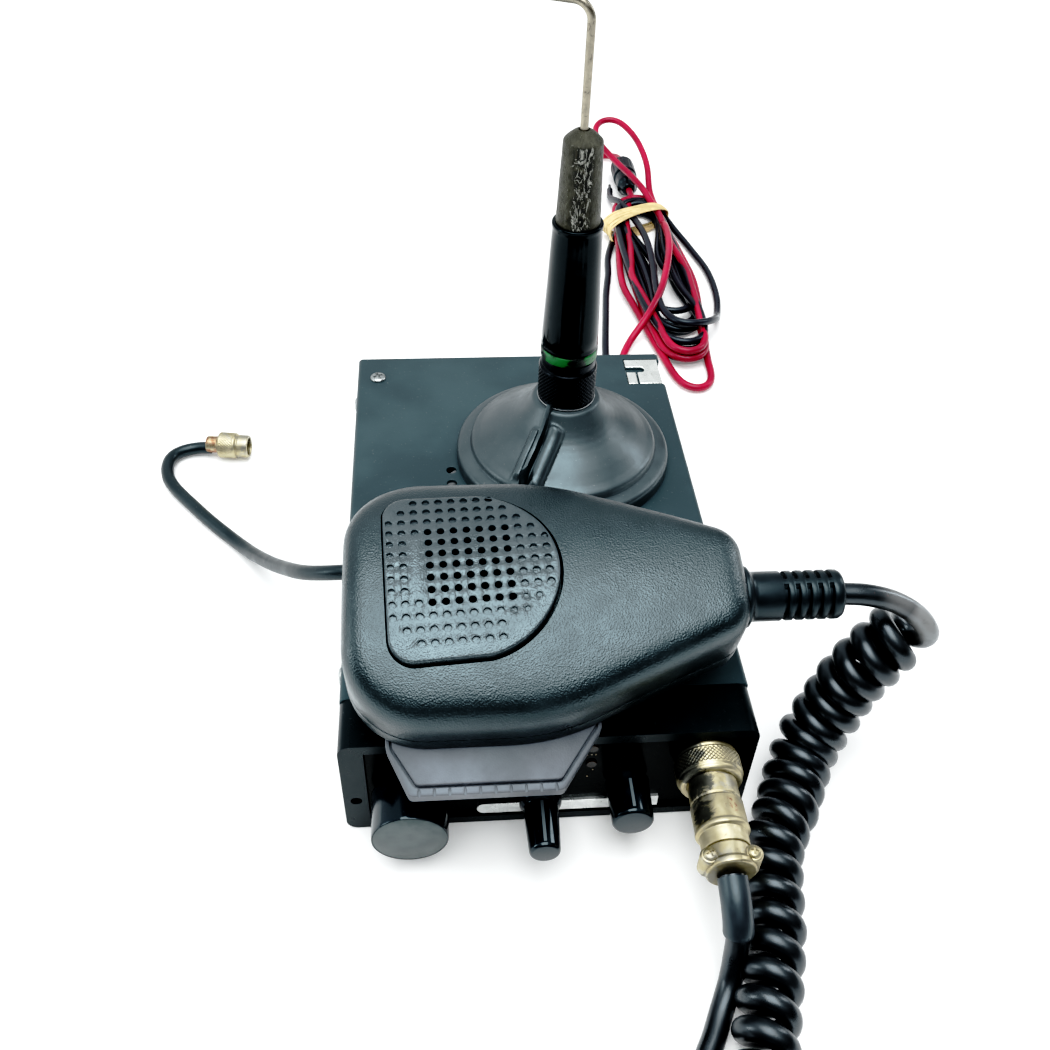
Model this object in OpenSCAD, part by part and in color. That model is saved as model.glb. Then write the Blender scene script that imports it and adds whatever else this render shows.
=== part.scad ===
/* [Radio case] */
// case width, left to right
case_w = 117; // [112:1:124]
// case depth, front face to rear face
case_d = 180; // [174:1:188]
// case height
case_h = 40; // [38:1:44]
// sheet thickness of the two covers
sheet = 1.2; // [1:0.1:1.4]
// depth of the moulded front bezel
bezel_d = 16.4; // [14:0.2:18]

/* [Controls] */
// channel knob diameter
channel_dia = 22; // [20:0.5:23]
// squelch knob tip diameter
squelch_dia = 8.6; // [7.5:0.1:9.5]
// volume knob diameter
volume_dia = 11.8; // [10:0.2:13]
// height of the knob axes above the base
knob_z = 18; // [17:0.5:20]

/* [Hand microphone] */
// tilt of the microphone where it leans on the front edge
mic_tilt = 15; // [12:1:18]
// width of the microphone head
mic_w = 75; // [72:1:78]
// thickness of the moulding at the top of its crowned face
mic_t = 31; // [30:0.5:32.5]
// wall thickness of the two shells
mic_wall = 2.4; // [2:0.1:2.8]

/* [Antenna] */
// radius of the magnet mount's rubber boot
boot_r = 36.8; // [35:0.2:38]
// height of the top of the metal ferrule
ferrule_top = 158; // [150:1:165]
// height of the bend in the whip
whip_bend = 192; // [185:1:200]
// whip rod diameter
whip_dia = 2.4; // [2:0.1:2.8]

/* [Cords] */
// curly cord strand diameter
mic_cord_dia = 6.4; // [5.5:0.1:6.6]
// outer diameter of the curly cord's coil
coil_dia = 17.8; // [16:0.2:18]
// antenna cable diameter
coax_dia = 4.9; // [4.5:0.1:5.2]
// power conductor diameter
wire_dia = 3.4; // [3:0.1:3.8]

/* [Hidden] */
$fn = 64;

// radio
half_w = case_w / 2;
front_y = -case_d / 2;
rear_y = case_d / 2;
seam_y = front_y + bezel_d;
seam_z = 27;
side_in = half_w - sheet;
frame_in = side_in - sheet;
rear_in = rear_y - 2.4;
panel_y = front_y + 1.2;
panel_back = panel_y + 2.5;
panel_x0 = -half_w + 7;
panel_x1 = half_w - 2.5;
panel_z0 = 3;
panel_z1 = case_h - 3.5;
bracket_y = -10;
bracket_z = 15;
hole_pitch = 6.8;
speaker_x = -4;
speaker_y = 2.8;
channel_x = -39.5;
squelch_x = -2.8;
volume_x = 22.6;
jack_x = 44.5;
jack_z = 27;
antenna_jack_x = -32;
antenna_jack_z = 22;
speaker_jack_x = 4;
gland_x = 45;
gland_z = 12;
tab_x0 = 44;
tab_y0 = 70.5;
tab_y1 = 86.5;

// microphone, in its own tilted frame
mic_x = 0;
mic_y = front_y + 32.5;
mic_z = case_h + 8.8;
head_x = -55.5;
end_x = 54;
end_half = 18;
part_t = 12;
back_r = 8;
shoulder_in = 10;
shoulder_drop = 10;
face_r = 87;
cord_t = 15;
lever_in = -30;
lever_out = -49.5;
pivot_x = 9;
pivot_w = -27;
element_x = -22;
grille_turn = 2.4;
grille_x = -21.2;
grille_w = 4.5;

// antenna
ant_x = 14.5;
ant_y = 30;
cable_az = 239;
whip_az = 158;

// plug
nut_back = front_y + 0.5;
nut_front = nut_back - 9;

// cord routes
lead_path = [[83.5, -61.4, 63.3], [91, -62, 63], [100, -63, 60.5], [107, -65.5, 56.5], [110.5, -68, 51.5],
  [109, -68, 50]];
coil_path = [[105, -64, 50], [98, -66.5, 43], [91.5, -68.5, 33], [86.5, -71.5, 23], [81, -76, 14.5],
  [76, -84, 9.8], [69.5, -97, 9], [63.5, -107, 9], [60, -119, 9], [57.5, -132, 9], [53, -147, 9],
  [48, -163, 9], [43, -184, 9], [33, -206, 9], [14, -217, 9], [-6, -212, 9], [-18, -196, 9]];
tail_path = [[-19, -191, 8], [-17, -180, 4.5], [-8, -170, 3.3], [6, -168, 3.3], [18, -172, 3.3],
  [28, -170, 3.3], [35.5, -160, 3.4], [40, -151.5, 4], [43.2, -145, 7], [44.6, -140.5, 13],
  [45, -137.3, 19.5]];
sleeve_path = [[45, -137.2, 19.6], [44.7, -132, 24.3], [44.5, -125.8, 26.9]];
coax_path = [[-3, 0.5, 46], [-12, -11, 42.6], [-26, -21, 42.6], [-44, -26, 42.6],
  [-60, -26.5, 42.4], [-71, -20, 36], [-80, -8, 26], [-90, 9, 13], [-101, 26, 3.5],
  [-119, 46, 2.6], [-134, 67, 2.6], [-134, 79, 2.6], [-127, 83.5, 2.6], [-119.5, 83, 3.4]];
red_path = [[47.2, 94.2, 12], [48.5, 104, 9.5], [52, 122, 4], [56, 142, 1.9], [62, 154, 1.9]];
black_path = [[42.8, 94.2, 12], [43.5, 106, 8.5], [46.5, 130, 1.9], [50, 158, 1.9], [54, 190, 1.9],
  [57.5, 212, 1.9]];
loop_path = [[90, 286, 8], [90, 304, 15], [84, 330, 22], [74, 343, 25], [65, 339, 23],
  [65, 324, 20], [72, 306, 17], [80, 290, 15.5], [85, 278, 13.6]];
arc_path = [[98, 254, 3], [104, 236, 1.9], [108, 214, 1.9], [108, 190, 1.9], [104.5, 172, 2.6],
  [101, 162, 8]];
hank_spots = [[84, 125, 12], [80, 200, 19.5], [80.5, 272, 13.5]];
hank_h = 12;

// ---------- shared shapes ----------

module block(x, y, z) {
  translate([x[0], y[0], z[0]])
    cube([x[1] - x[0], y[1] - y[0], z[1] - z[0]]);
}

// solid of revolution about a line along Y, from y0 towards the rear
module y_rod(x, z, y0, y1, r) {
  translate([x, y0, z])
    rotate([-90, 0, 0])
      cylinder(h = y1 - y0, r = r);
}

module y_taper(x, z, y0, y1, r0, r1) {
  translate([x, y0, z])
    rotate([-90, 0, 0])
      cylinder(h = y1 - y0, r1 = r0, r2 = r1);
}

// plate in the XZ plane with round corners
module round_block(x, y, z, r) {
  block([x[0] + r, x[1] - r], y, z);
  block(x, y, [z[0] + r, z[1] - r]);
  for (cx = [x[0] + r, x[1] - r])
    for (cz = [z[0] + r, z[1] - r])
      y_rod(cx, cz, y[0], y[1], r);
}

function unit(v) = v / norm(v);

function loft_faces(n, m) = concat(
  [[for (i = [0:n - 1]) i]],
  [for (j = [0:m - 2]) for (i = [0:n - 1])
    [j * n + i, (j + 1) * n + i, (j + 1) * n + (i + 1) % n, j * n + (i + 1) % n]],
  [[for (i = [n - 1:-1:0]) (m - 1) * n + i]]);

function heading(p, k) = unit(p[min(k + 1, len(p) - 1)] - p[max(k - 1, 0)]);

function tube_ring(p, k, r, n) =
  let (d = heading(p, k), u = unit(cross(d, [0, 0, 1])), v = cross(d, u))
    [for (i = [0:n - 1]) p[k] + r * (cos(360 * i / n) * u + sin(360 * i / n) * v)];

module tube(p, r, n = 8) {
  polyhedron(
    points = [for (k = [0:len(p) - 1]) for (q = tube_ring(p, k, r, n)) q],
    faces = loft_faces(n, len(p)));
}

module ring_z(z0, z1, r_out, r_in) {
  difference() {
    translate([0, 0, z0])
      cylinder(h = z1 - z0, r = r_out);
    translate([0, 0, z0 - 1])
      cylinder(h = z1 - z0 + 2, r = r_in);
  }
}

// ---------- case ----------

module bottom_cover() {
  color("#2b3236")
    difference() {
      union() {
        block([-half_w, half_w], [seam_y, rear_y], [0, sheet]);
        for (s = [-1, 1])
          block(s > 0 ? [side_in, half_w] : [-half_w, -side_in], [seam_y, rear_y], [0, seam_z - 0.1]);
        for (x = [-50, 50])
          for (y = [-62, 78])
            translate([x, y, 0])
              cylinder(h = 9, r = 3);
      }
      for (s = [-1, 1])
        translate([s * half_w, bracket_y, bracket_z])
          rotate([0, 90, 0])
            cylinder(h = 6, r = 2.5, center = true);
    }
}

module top_cover() {
  color("#43575e")
    difference() {
      union() {
        block([-half_w, half_w], [seam_y, rear_y], [case_h - sheet, case_h]);
        for (s = [-1, 1])
          block(s > 0 ? [side_in, half_w] : [-half_w, -side_in], [seam_y, rear_y],
            [seam_z + 0.1, case_h]);
      }
      block([tab_x0, half_w + 1], [tab_y0, tab_y1], [seam_z + 6, case_h + 1]);
      for (i = [-3:3])
        for (j = [-3:3])
          translate([speaker_x + i * hole_pitch, speaker_y + j * hole_pitch, case_h - sheet - 1])
            cylinder(h = sheet + 2, r = 1.7, $fn = 24);
      translate([-50.7, 77.3, case_h - sheet - 1])
        cylinder(h = sheet + 2, r = 1.7);
    }
}

module chassis() {
  color("#8d9499")
    difference() {
      union() {
        for (s = [-1, 1])
          block(s > 0 ? [frame_in, side_in] : [-side_in, -frame_in], [seam_y, rear_in], [sheet, case_h - sheet]);
        block([-frame_in, frame_in], [rear_in - 1.2, rear_in], [sheet, case_h - sheet]);
        block([-frame_in, frame_in], [seam_y, seam_y + 1.2], [sheet, 9]);
        block([-54, -47], [73, 82], [34, case_h - sheet]);
        block([-54, -47], [81, rear_in - 1.2], [34, case_h - sheet]);
        for (s = [-1, 1])
          translate([s * (frame_in - 1.5), bracket_y, bracket_z])
            rotate([0, 90, 0])
              cylinder(h = 3, r = 5, center = true);
      }
      for (s = [-1, 1])
        translate([s * half_w, bracket_y, bracket_z])
          rotate([0, 90, 0])
            cylinder(h = 20, r = 2.5, center = true);
      y_rod(antenna_jack_x, antenna_jack_z, 80, 95, 6.4);
      y_rod(speaker_jack_x, antenna_jack_z, 80, 95, 3.6);
      y_rod(gland_x, gland_z, 80, 95, 5.2);
      translate([-50.7, 77.3, 33])
        cylinder(h = 10, r = 1.5);
    }
}

module rear_panel() {
  color("#22272a")
    difference() {
      union() {
        block([-side_in, side_in], [rear_in, rear_y], [sheet, case_h - sheet]);
        for (i = [0:6])
          block([18 + i * 4, 19.4 + i * 4], [rear_y, rear_y + 2.6], [22, 36]);
      }
      y_rod(antenna_jack_x, antenna_jack_z, 80, 95, 6.4);
      y_rod(speaker_jack_x, antenna_jack_z, 80, 95, 3.6);
      y_rod(gland_x, gland_z, 80, 95, 5.2);
    }
}

module rear_tab() {
  color("#d9dad6")
    difference() {
      union() {
        block([tab_x0 + 0.3, side_in - 0.1], [tab_y0 + 0.3, tab_y1 - 0.3], [case_h - sheet, case_h]);
        block([tab_x0 - 4, frame_in - 0.1], [tab_y0 - 5, tab_y1 - 1], [case_h - 2.4, case_h - sheet]);
      }
      block([tab_x0, tab_x0 + 8], [tab_y0 + 6, tab_y0 + 9.4], [case_h - 0.9, case_h + 1]);
      block([tab_x0 + 3.8, tab_x0 + 5.2], [tab_y0, tab_y0 + 7], [case_h - 0.9, case_h + 1]);
    }
}

module cover_screws() {
  color("#9aa0a2") {
    translate([-50.7, 77.3, case_h])
      cylinder(h = 1.1, r1 = 3, r2 = 2.3);
    translate([-50.7, 77.3, 34])
      cylinder(h = 6, r = 1.5);
    for (s = [-1, 1])
      for (y = [-60, 70])
        for (z = [12, 33])
          translate([s * half_w, y, z])
            rotate([0, s * 90, 0])
              cylinder(h = 1.3, r1 = 2.9, r2 = 2.2);
  }
}

module front_bezel() {
  color("#15191b")
    difference() {
      round_block([-half_w, half_w], [front_y, seam_y], [0, case_h], 3.5);
      block([panel_x0, panel_x1], [front_y - 1, panel_back], [panel_z0, panel_z1]);
      block([panel_x0 + 1.5, panel_x1 - 1.5], [panel_back - 1, front_y + 8],
        [panel_z0 + 1.5, panel_z1 - 1.5]);
      block([-half_w + 2.4, half_w - 2.4], [front_y + 6, seam_y + 1], [2.4, case_h - 2.4]);
      y_rod(jack_x, jack_z, panel_back - 1, front_y + 8, 9.7);
      y_rod(-half_w + 3.6, 14, front_y - 1, front_y + 1.4, 1.6);
    }
}

module front_panel() {
  color("#0c0e10")
    difference() {
      block([panel_x0, panel_x1], [panel_y, panel_back], [panel_z0, panel_z1]);
      y_rod(channel_x, knob_z, panel_y - 1, panel_back + 1, 3.6);
      y_rod(squelch_x, knob_z, panel_y - 1, panel_back + 1, 3.6);
      y_rod(volume_x, knob_z, panel_y - 1, panel_back + 1, 3.6);
      y_rod(jack_x, jack_z, panel_y - 1, panel_back + 1, 7.9);
      block([-25.5, -10.5], [panel_y - 1, panel_back + 1], [17, 29]);
      for (z = [26, 33.4])
        y_rod(12, z, panel_y - 1, panel_back + 1, 1.5);
    }
}

module trim_strip() {
  color("#c9ccca") {
    block([-18.2, 33], [panel_y - 1, panel_y], [4.2, 8.8]);
    y_rod(-18.2, 6.5, panel_y - 1, panel_y, 2.3);
  }
}

module display_window() {
  color("#3a1310")
    block([-25.5, -10.5], [panel_y - 0.2, panel_y + 1.3], [17, 29]);
}

module display_module() {
  color("#1d1f20")
    block([-25, -11], [panel_back + 0.3, -84.2], [16.5, 29.5]);
}

module indicator_leds() {
  color("#d8a018")
    for (z = [26, 33.4])
      y_rod(12, z, panel_y - 0.6, panel_back + 1, 1.45);
}

module front_board() {
  color("#2f6b45")
    difference() {
      block([-49.6, 54], [-84.2, -82.6], [5, 34.8]);
      for (x = [channel_x, squelch_x, volume_x])
        y_rod(x, knob_z, -86, -80, 3.7);
      y_rod(jack_x, jack_z, -86, -80, 8.4);
    }
}

module main_board() {
  color("#2f6b45")
    block([-52.8, 52.8], [-72, 84], [9, 10.6]);
}

module rf_cans() {
  color("#c4c8c8") {
    block([-48, -12], [36, 66], [10.6, 24]);
    for (i = [0:4])
      translate([-46 + i * 11, -54, 10.6])
        cylinder(h = 9, r = 4.2);
  }
}

module heat_spreader() {
  color("#a7acae") {
    block([14, 39], [78, 86.4], [10.6, 34]);
    block([20, 26], [74, 78], [14, 26]);
    block([31, 37], [74, 78], [14, 26]);
  }
}

module speaker() {
  color("#50565a")
    translate([speaker_x, speaker_y, 0])
      difference() {
        union() {
          translate([0, 0, case_h - sheet - 2.6])
            cylinder(h = 2.6, r = 29);
          translate([0, 0, 24])
            cylinder(h = case_h - sheet - 24 - 1, r1 = 17, r2 = 27);
          translate([0, 0, 14.5])
            cylinder(h = 7, r = 16);
          translate([0, 0, 21])
            cylinder(h = 4, r = 13);
        }
        translate([0, 0, 26])
          cylinder(h = case_h - sheet - 26 + 1, r1 = 12, r2 = 25.6);
      }
}

// ---------- controls ----------

module control(x, z, w, d, r_bush) {
  difference() {
    union() {
      block([x - w / 2, x + w / 2], [-82.6, -82.6 + d], [z - w / 2, z + w / 2]);
      y_rod(x, z, panel_y + 0.4, -82.6, r_bush);
    }
    y_rod(x, z, -95, -82.6 + d - 2, 3.05);
  }
}

module channel_encoder() {
  color("#6f7678")
    control(channel_x, knob_z, 16, 9, 3.5);
}

module squelch_pot() {
  color("#6f7678")
    control(squelch_x, knob_z, 13, 8, 3.5);
}

module volume_pot() {
  color("#6f7678")
    control(volume_x, knob_z, 13, 8, 3.5);
}

module channel_shaft() {
  color("#b9bdbd")
    y_rod(channel_x, knob_z, -100, -77, 3);
}

module squelch_shaft() {
  color("#b9bdbd")
    y_rod(squelch_x, knob_z, -104, -78, 3);
}

module volume_shaft() {
  color("#b9bdbd")
    y_rod(volume_x, knob_z, -100, -78, 3);
}

module channel_knob() {
  color("#101214")
    difference() {
      union() {
        y_rod(channel_x, knob_z, -105, -91, channel_dia / 2 - 0.1);
        y_taper(channel_x, knob_z, -106, -105, channel_dia / 2 - 0.9, channel_dia / 2 - 0.1);
      }
      y_rod(channel_x, knob_z, -100, -90, 3);
      y_rod(channel_x, knob_z, -93, -90, channel_dia / 2 - 2);
    }
}

module squelch_knob() {
  color("#101214")
    difference() {
      union() {
        y_rod(squelch_x, knob_z, -97, -90.2, 6);
        y_taper(squelch_x, knob_z, -111.4, -97, squelch_dia / 2, squelch_dia / 2 + 0.7);
        y_taper(squelch_x, knob_z, -112, -111.4, squelch_dia / 2 - 0.6, squelch_dia / 2);
        block([squelch_x - 0.4, squelch_x + 0.4], [-111.4, -97], [knob_z + 3, knob_z + squelch_dia / 2 + 0.5]);
      }
      y_rod(squelch_x, knob_z, -104, -90, 3);
    }
}

module volume_knob() {
  color("#101214")
    difference() {
      union() {
        y_rod(volume_x, knob_z, -103.4, -90.2, volume_dia / 2);
        y_taper(volume_x, knob_z, -104, -103.4, volume_dia / 2 - 0.6, volume_dia / 2);
        block([volume_x - 0.4, volume_x + 0.4], [-103.4, -92], [knob_z + 4, knob_z + volume_dia / 2 + 0.4]);
      }
      y_rod(volume_x, knob_z, -100, -90, 3);
    }
}

// ---------- sockets ----------

module mic_jack() {
  color("#c9c2a8") {
    difference() {
      union() {
        y_rod(jack_x, jack_z, -95, panel_back, 7.8);
        y_rod(jack_x, jack_z, panel_back, -84.4, 9.5);
        y_rod(jack_x, jack_z, -84.4, -80, 7.8);
      }
      y_rod(jack_x, jack_z, -96, -88, 6.2);
    }
    for (a = [45:90:315])
      y_rod(jack_x + 3.2 * cos(a), jack_z + 3.2 * sin(a), -94, -88, 0.9);
  }
}

module antenna_jack() {
  color("#c8cbca") {
    difference() {
      union() {
        block([antenna_jack_x - 12.7, antenna_jack_x + 12.7], [rear_y, rear_y + 1.6],
          [antenna_jack_z - 12.7, antenna_jack_z + 12.7]);
        y_rod(antenna_jack_x, antenna_jack_z, rear_y + 1.6, rear_y + 14, 7.94);
        y_rod(antenna_jack_x, antenna_jack_z, rear_in - 3, rear_y, 6.2);
      }
      y_rod(antenna_jack_x, antenna_jack_z, rear_y + 5, rear_y + 15, 6.6);
    }
    difference() {
      y_rod(antenna_jack_x, antenna_jack_z, rear_y + 5, rear_y + 12, 3);
      y_rod(antenna_jack_x, antenna_jack_z, rear_y + 5.5, rear_y + 13, 2);
    }
  }
}

module speaker_jack() {
  color("#b9bdbd")
    difference() {
      union() {
        y_rod(speaker_jack_x, antenna_jack_z, rear_in - 12, rear_y, 3.5);
        y_rod(speaker_jack_x, antenna_jack_z, rear_y, rear_y + 2, 4.6);
      }
      y_rod(speaker_jack_x, antenna_jack_z, rear_in - 8, rear_y + 3, 1.8);
    }
}

module power_gland() {
  color("#121416")
    difference() {
      union() {
        y_rod(gland_x, gland_z, rear_in - 3, rear_y, 5.1);
        y_taper(gland_x, gland_z, rear_y, rear_y + 4, 6.4, 5);
      }
      for (s = [-1, 1])
        y_rod(gland_x + s * 2.2, gland_z, rear_y - 8, rear_y + 5, wire_dia / 2 + 0.1);
    }
}

// ---------- hand microphone ----------

module mic_frame() {
  translate([mic_x, mic_y, mic_z])
    rotate([mic_tilt, 0, 0])
      children();
}

function arc(c, r, a0, a1, n = 6) =
  [for (i = [0:n - 1]) let (a = a0 + (a1 - a0) * i / (n - 1)) c + r * [cos(a), sin(a)]];

// half of the outline, from the cord end round to the head, inset by d
function mic_half(d) =
  let (
    re = max(10 - d, 1.5),
    rs = 60 - d,
    rh = max(22 - d, 3),
    ce = [end_x - d - re, end_half - d - re],
    cs = [-12, mic_w / 2 - d - rs],
    ch = [head_x + d + rh, mic_w / 2 - d - rh],
    v = ce - cs,
    a = atan2(v[1], v[0]) + acos((rs - re) / norm(v)))
  concat(arc(ce, re, 0, a), arc(cs, rs, a, 90), arc(ch, rh, 90, 180));

function mic_outline(d) =
  let (h = mic_half(d), n = len(h))
    concat(h, [for (i = [n - 1:-1:0]) [h[i][0], -h[i][1]]]);

function mic_ring(d, t) = [for (p = mic_outline(d)) [p[0], p[1], t]];

function back_edge(i, d) = mic_ring(d + back_r * (1 - cos(30 * i)), back_r * (1 - sin(30 * i)) + d);

// crowned face: a cylinder across the microphone, falling off at a rounded shoulder
function crown(w) = mic_t - w * w / (2 * face_r);

function shoulder(i, d) =
  [for (p = mic_outline(d + shoulder_in * (1 - cos(30 * i))))
    [p[0], p[1], crown(p[1]) - shoulder_drop * (1 - sin(30 * i)) - d]];

function face_ring(d, s) =
  [for (p = mic_outline(d + shoulder_in)) [-6 + (p[0] + 6) * s, p[1] * s, crown(p[1] * s) - d]];

function face_top(d) = [for (p = mic_outline(d + shoulder_in)) [-6 + (p[0] + 6) * 0.05, p[1] * 0.05, mic_t - d]];

module loft(rings) {
  polyhedron(
    points = [for (r = rings) for (p = r) p],
    faces = loft_faces(len(rings[0]), len(rings)));
}

module mic_back_solid(d) {
  loft([back_edge(3, d), back_edge(2, d), back_edge(1, d), back_edge(0, d), mic_ring(d, part_t)]);
}

module mic_face_solid(d, t0) {
  loft([mic_ring(d, t0), shoulder(0, d), shoulder(1, d), shoulder(2, d), shoulder(3, d),
    face_ring(d, 0.75), face_ring(d, 0.45), face_top(d)]);
}

// D-shaped outline of the grille, flat side towards the head
module grille_outline(grow) {
  translate([grille_x, grille_w])
    rotate(grille_turn)
      translate([-22.6, -1.2])
        polygon(concat(
          [for (a = [-80:10:80]) [22 + (24.6 + grow) * cos(a), (25.4 + grow) * sin(a)]],
          [for (a = [95:15:170]) [7 + (7 + grow) * cos(a), 18.4 + (7 + grow) * sin(a)]],
          [for (a = [190:15:265]) [7 + (7 + grow) * cos(a), -18.4 + (7 + grow) * sin(a)]]));
}

module mic_front_shell() {
  color("#1d2124")
    mic_frame()
      difference() {
        mic_face_solid(0, part_t);
        mic_face_solid(mic_wall, part_t - 1);
        translate([0, 0, mic_t - 9])
          linear_extrude(12)
            grille_outline(0.1);
        translate([end_x - 10, 0, cord_t])
          rotate([0, 90, 0])
            cylinder(h = 20, r = 5.2);
      }
  color("#1d2124")
    mic_frame()
      translate([pivot_x, pivot_w, 0]) {
        translate([0, 0, 7])
          cylinder(h = 18, r = 3);
        translate([0, 0, 1])
          cylinder(h = 8, r = 1.5);
      }
}

module mic_back_shell() {
  color("#1d2124")
    mic_frame()
      difference() {
        mic_back_solid(0);
        difference() {
          translate([0, 0, mic_wall])
            mic_back_solid(mic_wall);
          translate([-20, 0, 0])
            cylinder(h = 6, r = 5);
          for (p = [[-44, 22], [-44, -14], [34, 0]])
            translate([p[0], p[1], 0])
              cylinder(h = 20, r = 3.2);
        }
        translate([0, 0, part_t])
          mic_back_solid(-5);
        block([-47.5, 16.5], [-45, -23.4], [-1, 6.6]);
        translate([end_x - 10, 0, cord_t])
          rotate([0, 90, 0])
            cylinder(h = 20, r = 5.2);
        for (p = [[-44, 22], [-44, -14], [34, 0]])
          translate([p[0], p[1], -1])
            cylinder(h = 30, r = 1.3);
        for (p = [[-44, 22], [-44, -14], [34, 0]])
          translate([p[0], p[1], -1])
            cylinder(h = 2.4, r = 2.8);
        translate([-20, 0, -1])
          cylinder(h = 12, r = 2);
      }
}

module crown_cylinder(rise) {
  translate([-60, 0, mic_t - face_r])
    rotate([0, 90, 0])
      cylinder(h = 80, r = face_r + rise, $fn = 128);
}

module grille_plate() {
  color("#232729")
    mic_frame()
      difference() {
        intersection() {
          translate([0, 0, mic_t - 10])
            linear_extrude(12)
              grille_outline(0);
          crown_cylinder(0.9);
        }
        crown_cylinder(-2.3);
        for (i = [-3:3])
          for (j = [-3:3])
            translate([grille_x, grille_w, mic_t - 8])
              rotate(grille_turn)
                translate([3.5 * i, 3.65 * j, 0])
                  cylinder(h = 14, r = 1, $fn = 20);
      }
}

module mic_element() {
  color("#8b8f90")
    mic_frame()
      translate([element_x, 4, 17])
        difference() {
          cylinder(h = 9.2, r = 14);
          translate([0, 0, 8.2])
            cylinder(h = 2, r = 12.5);
        }
}

module mic_board() {
  color("#2f6b45")
    mic_frame()
      block([-30, 40], [-12, 10], [13, 14.4]);
}

module mic_switch() {
  color("#a32f24")
    mic_frame() {
      block([-29, -16], [-25.5, -19], [8, 14]);
      block([-24, -21], [-26.1, -25.5], [9, 12]);
    }
}

module mic_screws() {
  color("#9aa0a2")
    mic_frame()
      for (p = [[-44, 22], [-44, -14], [34, 0]])
        translate([p[0], p[1], 0.2]) {
          cylinder(h = 1.2, r = 2.5);
          cylinder(h = 12, r = 1.25);
        }
}

module hangup_stud() {
  color("#b4b7b5")
    mic_frame()
      translate([-20, 0, 0]) {
        translate([0, 0, -7])
          cylinder(h = 2.2, r = 6.2);
        translate([0, 0, -4.8])
          cylinder(h = 4.8, r = 4);
        cylinder(h = 7, r = 1.9);
      }
}

module strain_relief() {
  color("#101214")
    mic_frame()
      translate([0, 0, cord_t])
        rotate([0, 90, 0])
          difference() {
            union() {
              translate([0, 0, end_x - 4])
                cylinder(h = 4, r = 5);
              translate([0, 0, end_x])
                cylinder(h = 2.6, r = 8.8);
              translate([0, 0, end_x + 2.6])
                cylinder(h = 9, r = 7.1);
              for (i = [0:5])
                translate([0, 0, end_x + 11.6 + i * 2.9])
                  cylinder(h = 2.1, r = 7.2);
              translate([0, 0, end_x + 11.6])
                cylinder(h = 17.6, r = 6);
            }
            translate([0, 0, end_x - 5])
              cylinder(h = 40, r = 3.3);
          }
}

module ptt_lever() {
  color("#23272a")
    mic_frame()
      difference() {
        union() {
          translate([0, 0, 0.3])
            linear_extrude(5.9)
              polygon([[-45, lever_in], [4, lever_in], [6, -24.2], [12, -24.2], [13.6, -33],
                [2.4, lever_out + 2.4], [1.6, lever_out], [-38.6, lever_out],
                [-39.4, lever_out + 2.4], [-45, -36]]);
          block([-25, -20], [lever_in, -28.3], [5, 12]);
        }
        translate([pivot_x, pivot_w, -1])
          cylinder(h = 9, r = 1.6);
        block([-38, 1], [lever_out + 1.6, lever_out + 2.2], [5.6, 7]);
        for (i = [0:9])
          block([-36.6 + i * 4, -35.8 + i * 4], [lever_out - 1, lever_out + 0.7], [1, 5.2]);
      }
}

module ptt_spring() {
  color("#c7cacb")
    mic_frame()
      translate([pivot_x, pivot_w, 7.2])
        difference() {
          union() {
            cylinder(h = 3, r = 4.1);
            block([-22, 0], [2.7, 3.5], [0, 0.8]);
            block([-8, 0], [-3.5, -2.7], [2.2, 3]);
          }
          translate([0, 0, -1])
            cylinder(h = 8, r = 3.2);
        }
}

// ---------- magnet-mount antenna ----------

module ant_frame() {
  translate([ant_x, ant_y, 0])
    children();
}

module mount_boot() {
  color("#1b1e20")
    ant_frame()
      difference() {
        union() {
          rotate_extrude()
            polygon([[0, case_h], [boot_r, case_h], [boot_r, case_h + 4.5], [boot_r - 1, case_h + 6],
              [boot_r - 4, case_h + 6.6], [boot_r - 4.4, case_h + 8], [30.5, 49.4], [27, 52], [23, 54.6],
              [18, 57.8], [14.5, 61], [12.2, 63.6], [11, 66], [0, 66]]);
          rotate([0, 0, cable_az]) {
            translate([7, 0, 61.5])
              rotate([0, 116, 0])
                cylinder(h = 26, r = 4);
            translate([26, 0, case_h + 5])
              rotate([0, 90, 0])
                cylinder(h = 8, r = 4.4);
          }
        }
        translate([0, 0, case_h - 1])
          cylinder(h = 7.6, r = 33);
        translate([0, 0, case_h - 1])
          cylinder(h = 12.6, r = 24);
        translate([0, 0, case_h])
          cylinder(h = 40, r = 5);
        rotate([0, 0, cable_az])
          translate([14, 0, case_h + 5.8])
            rotate([0, 90, 0])
              cylinder(h = 30, r = coax_dia / 2 + 0.1);
      }
}

module mount_cup() {
  color("#9ea3a5")
    ant_frame()
      difference() {
        translate([0, 0, case_h + 0.2])
          cylinder(h = 5.8, r = 32.8);
        translate([0, 0, case_h])
          cylinder(h = 4.4, r = 30);
        translate([0, 0, case_h])
          cylinder(h = 10, r = 3);
        rotate([0, 0, cable_az])
          translate([14, 0, case_h + 5.8])
            rotate([0, 90, 0])
              cylinder(h = 30, r = coax_dia / 2 + 0.3);
      }
}

module mount_magnet() {
  color("#4a4d4f")
    ant_frame()
      ring_z(case_h + 0.2, case_h + 4.2, 27, 9);
}

module mount_stud() {
  color("#c9b678")
    ant_frame() {
      translate([0, 0, case_h + 6])
        cylinder(h = 24.6, r = 4.8);
      translate([0, 0, case_h + 6])
        cylinder(h = 4, r = 12);
    }
}

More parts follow.
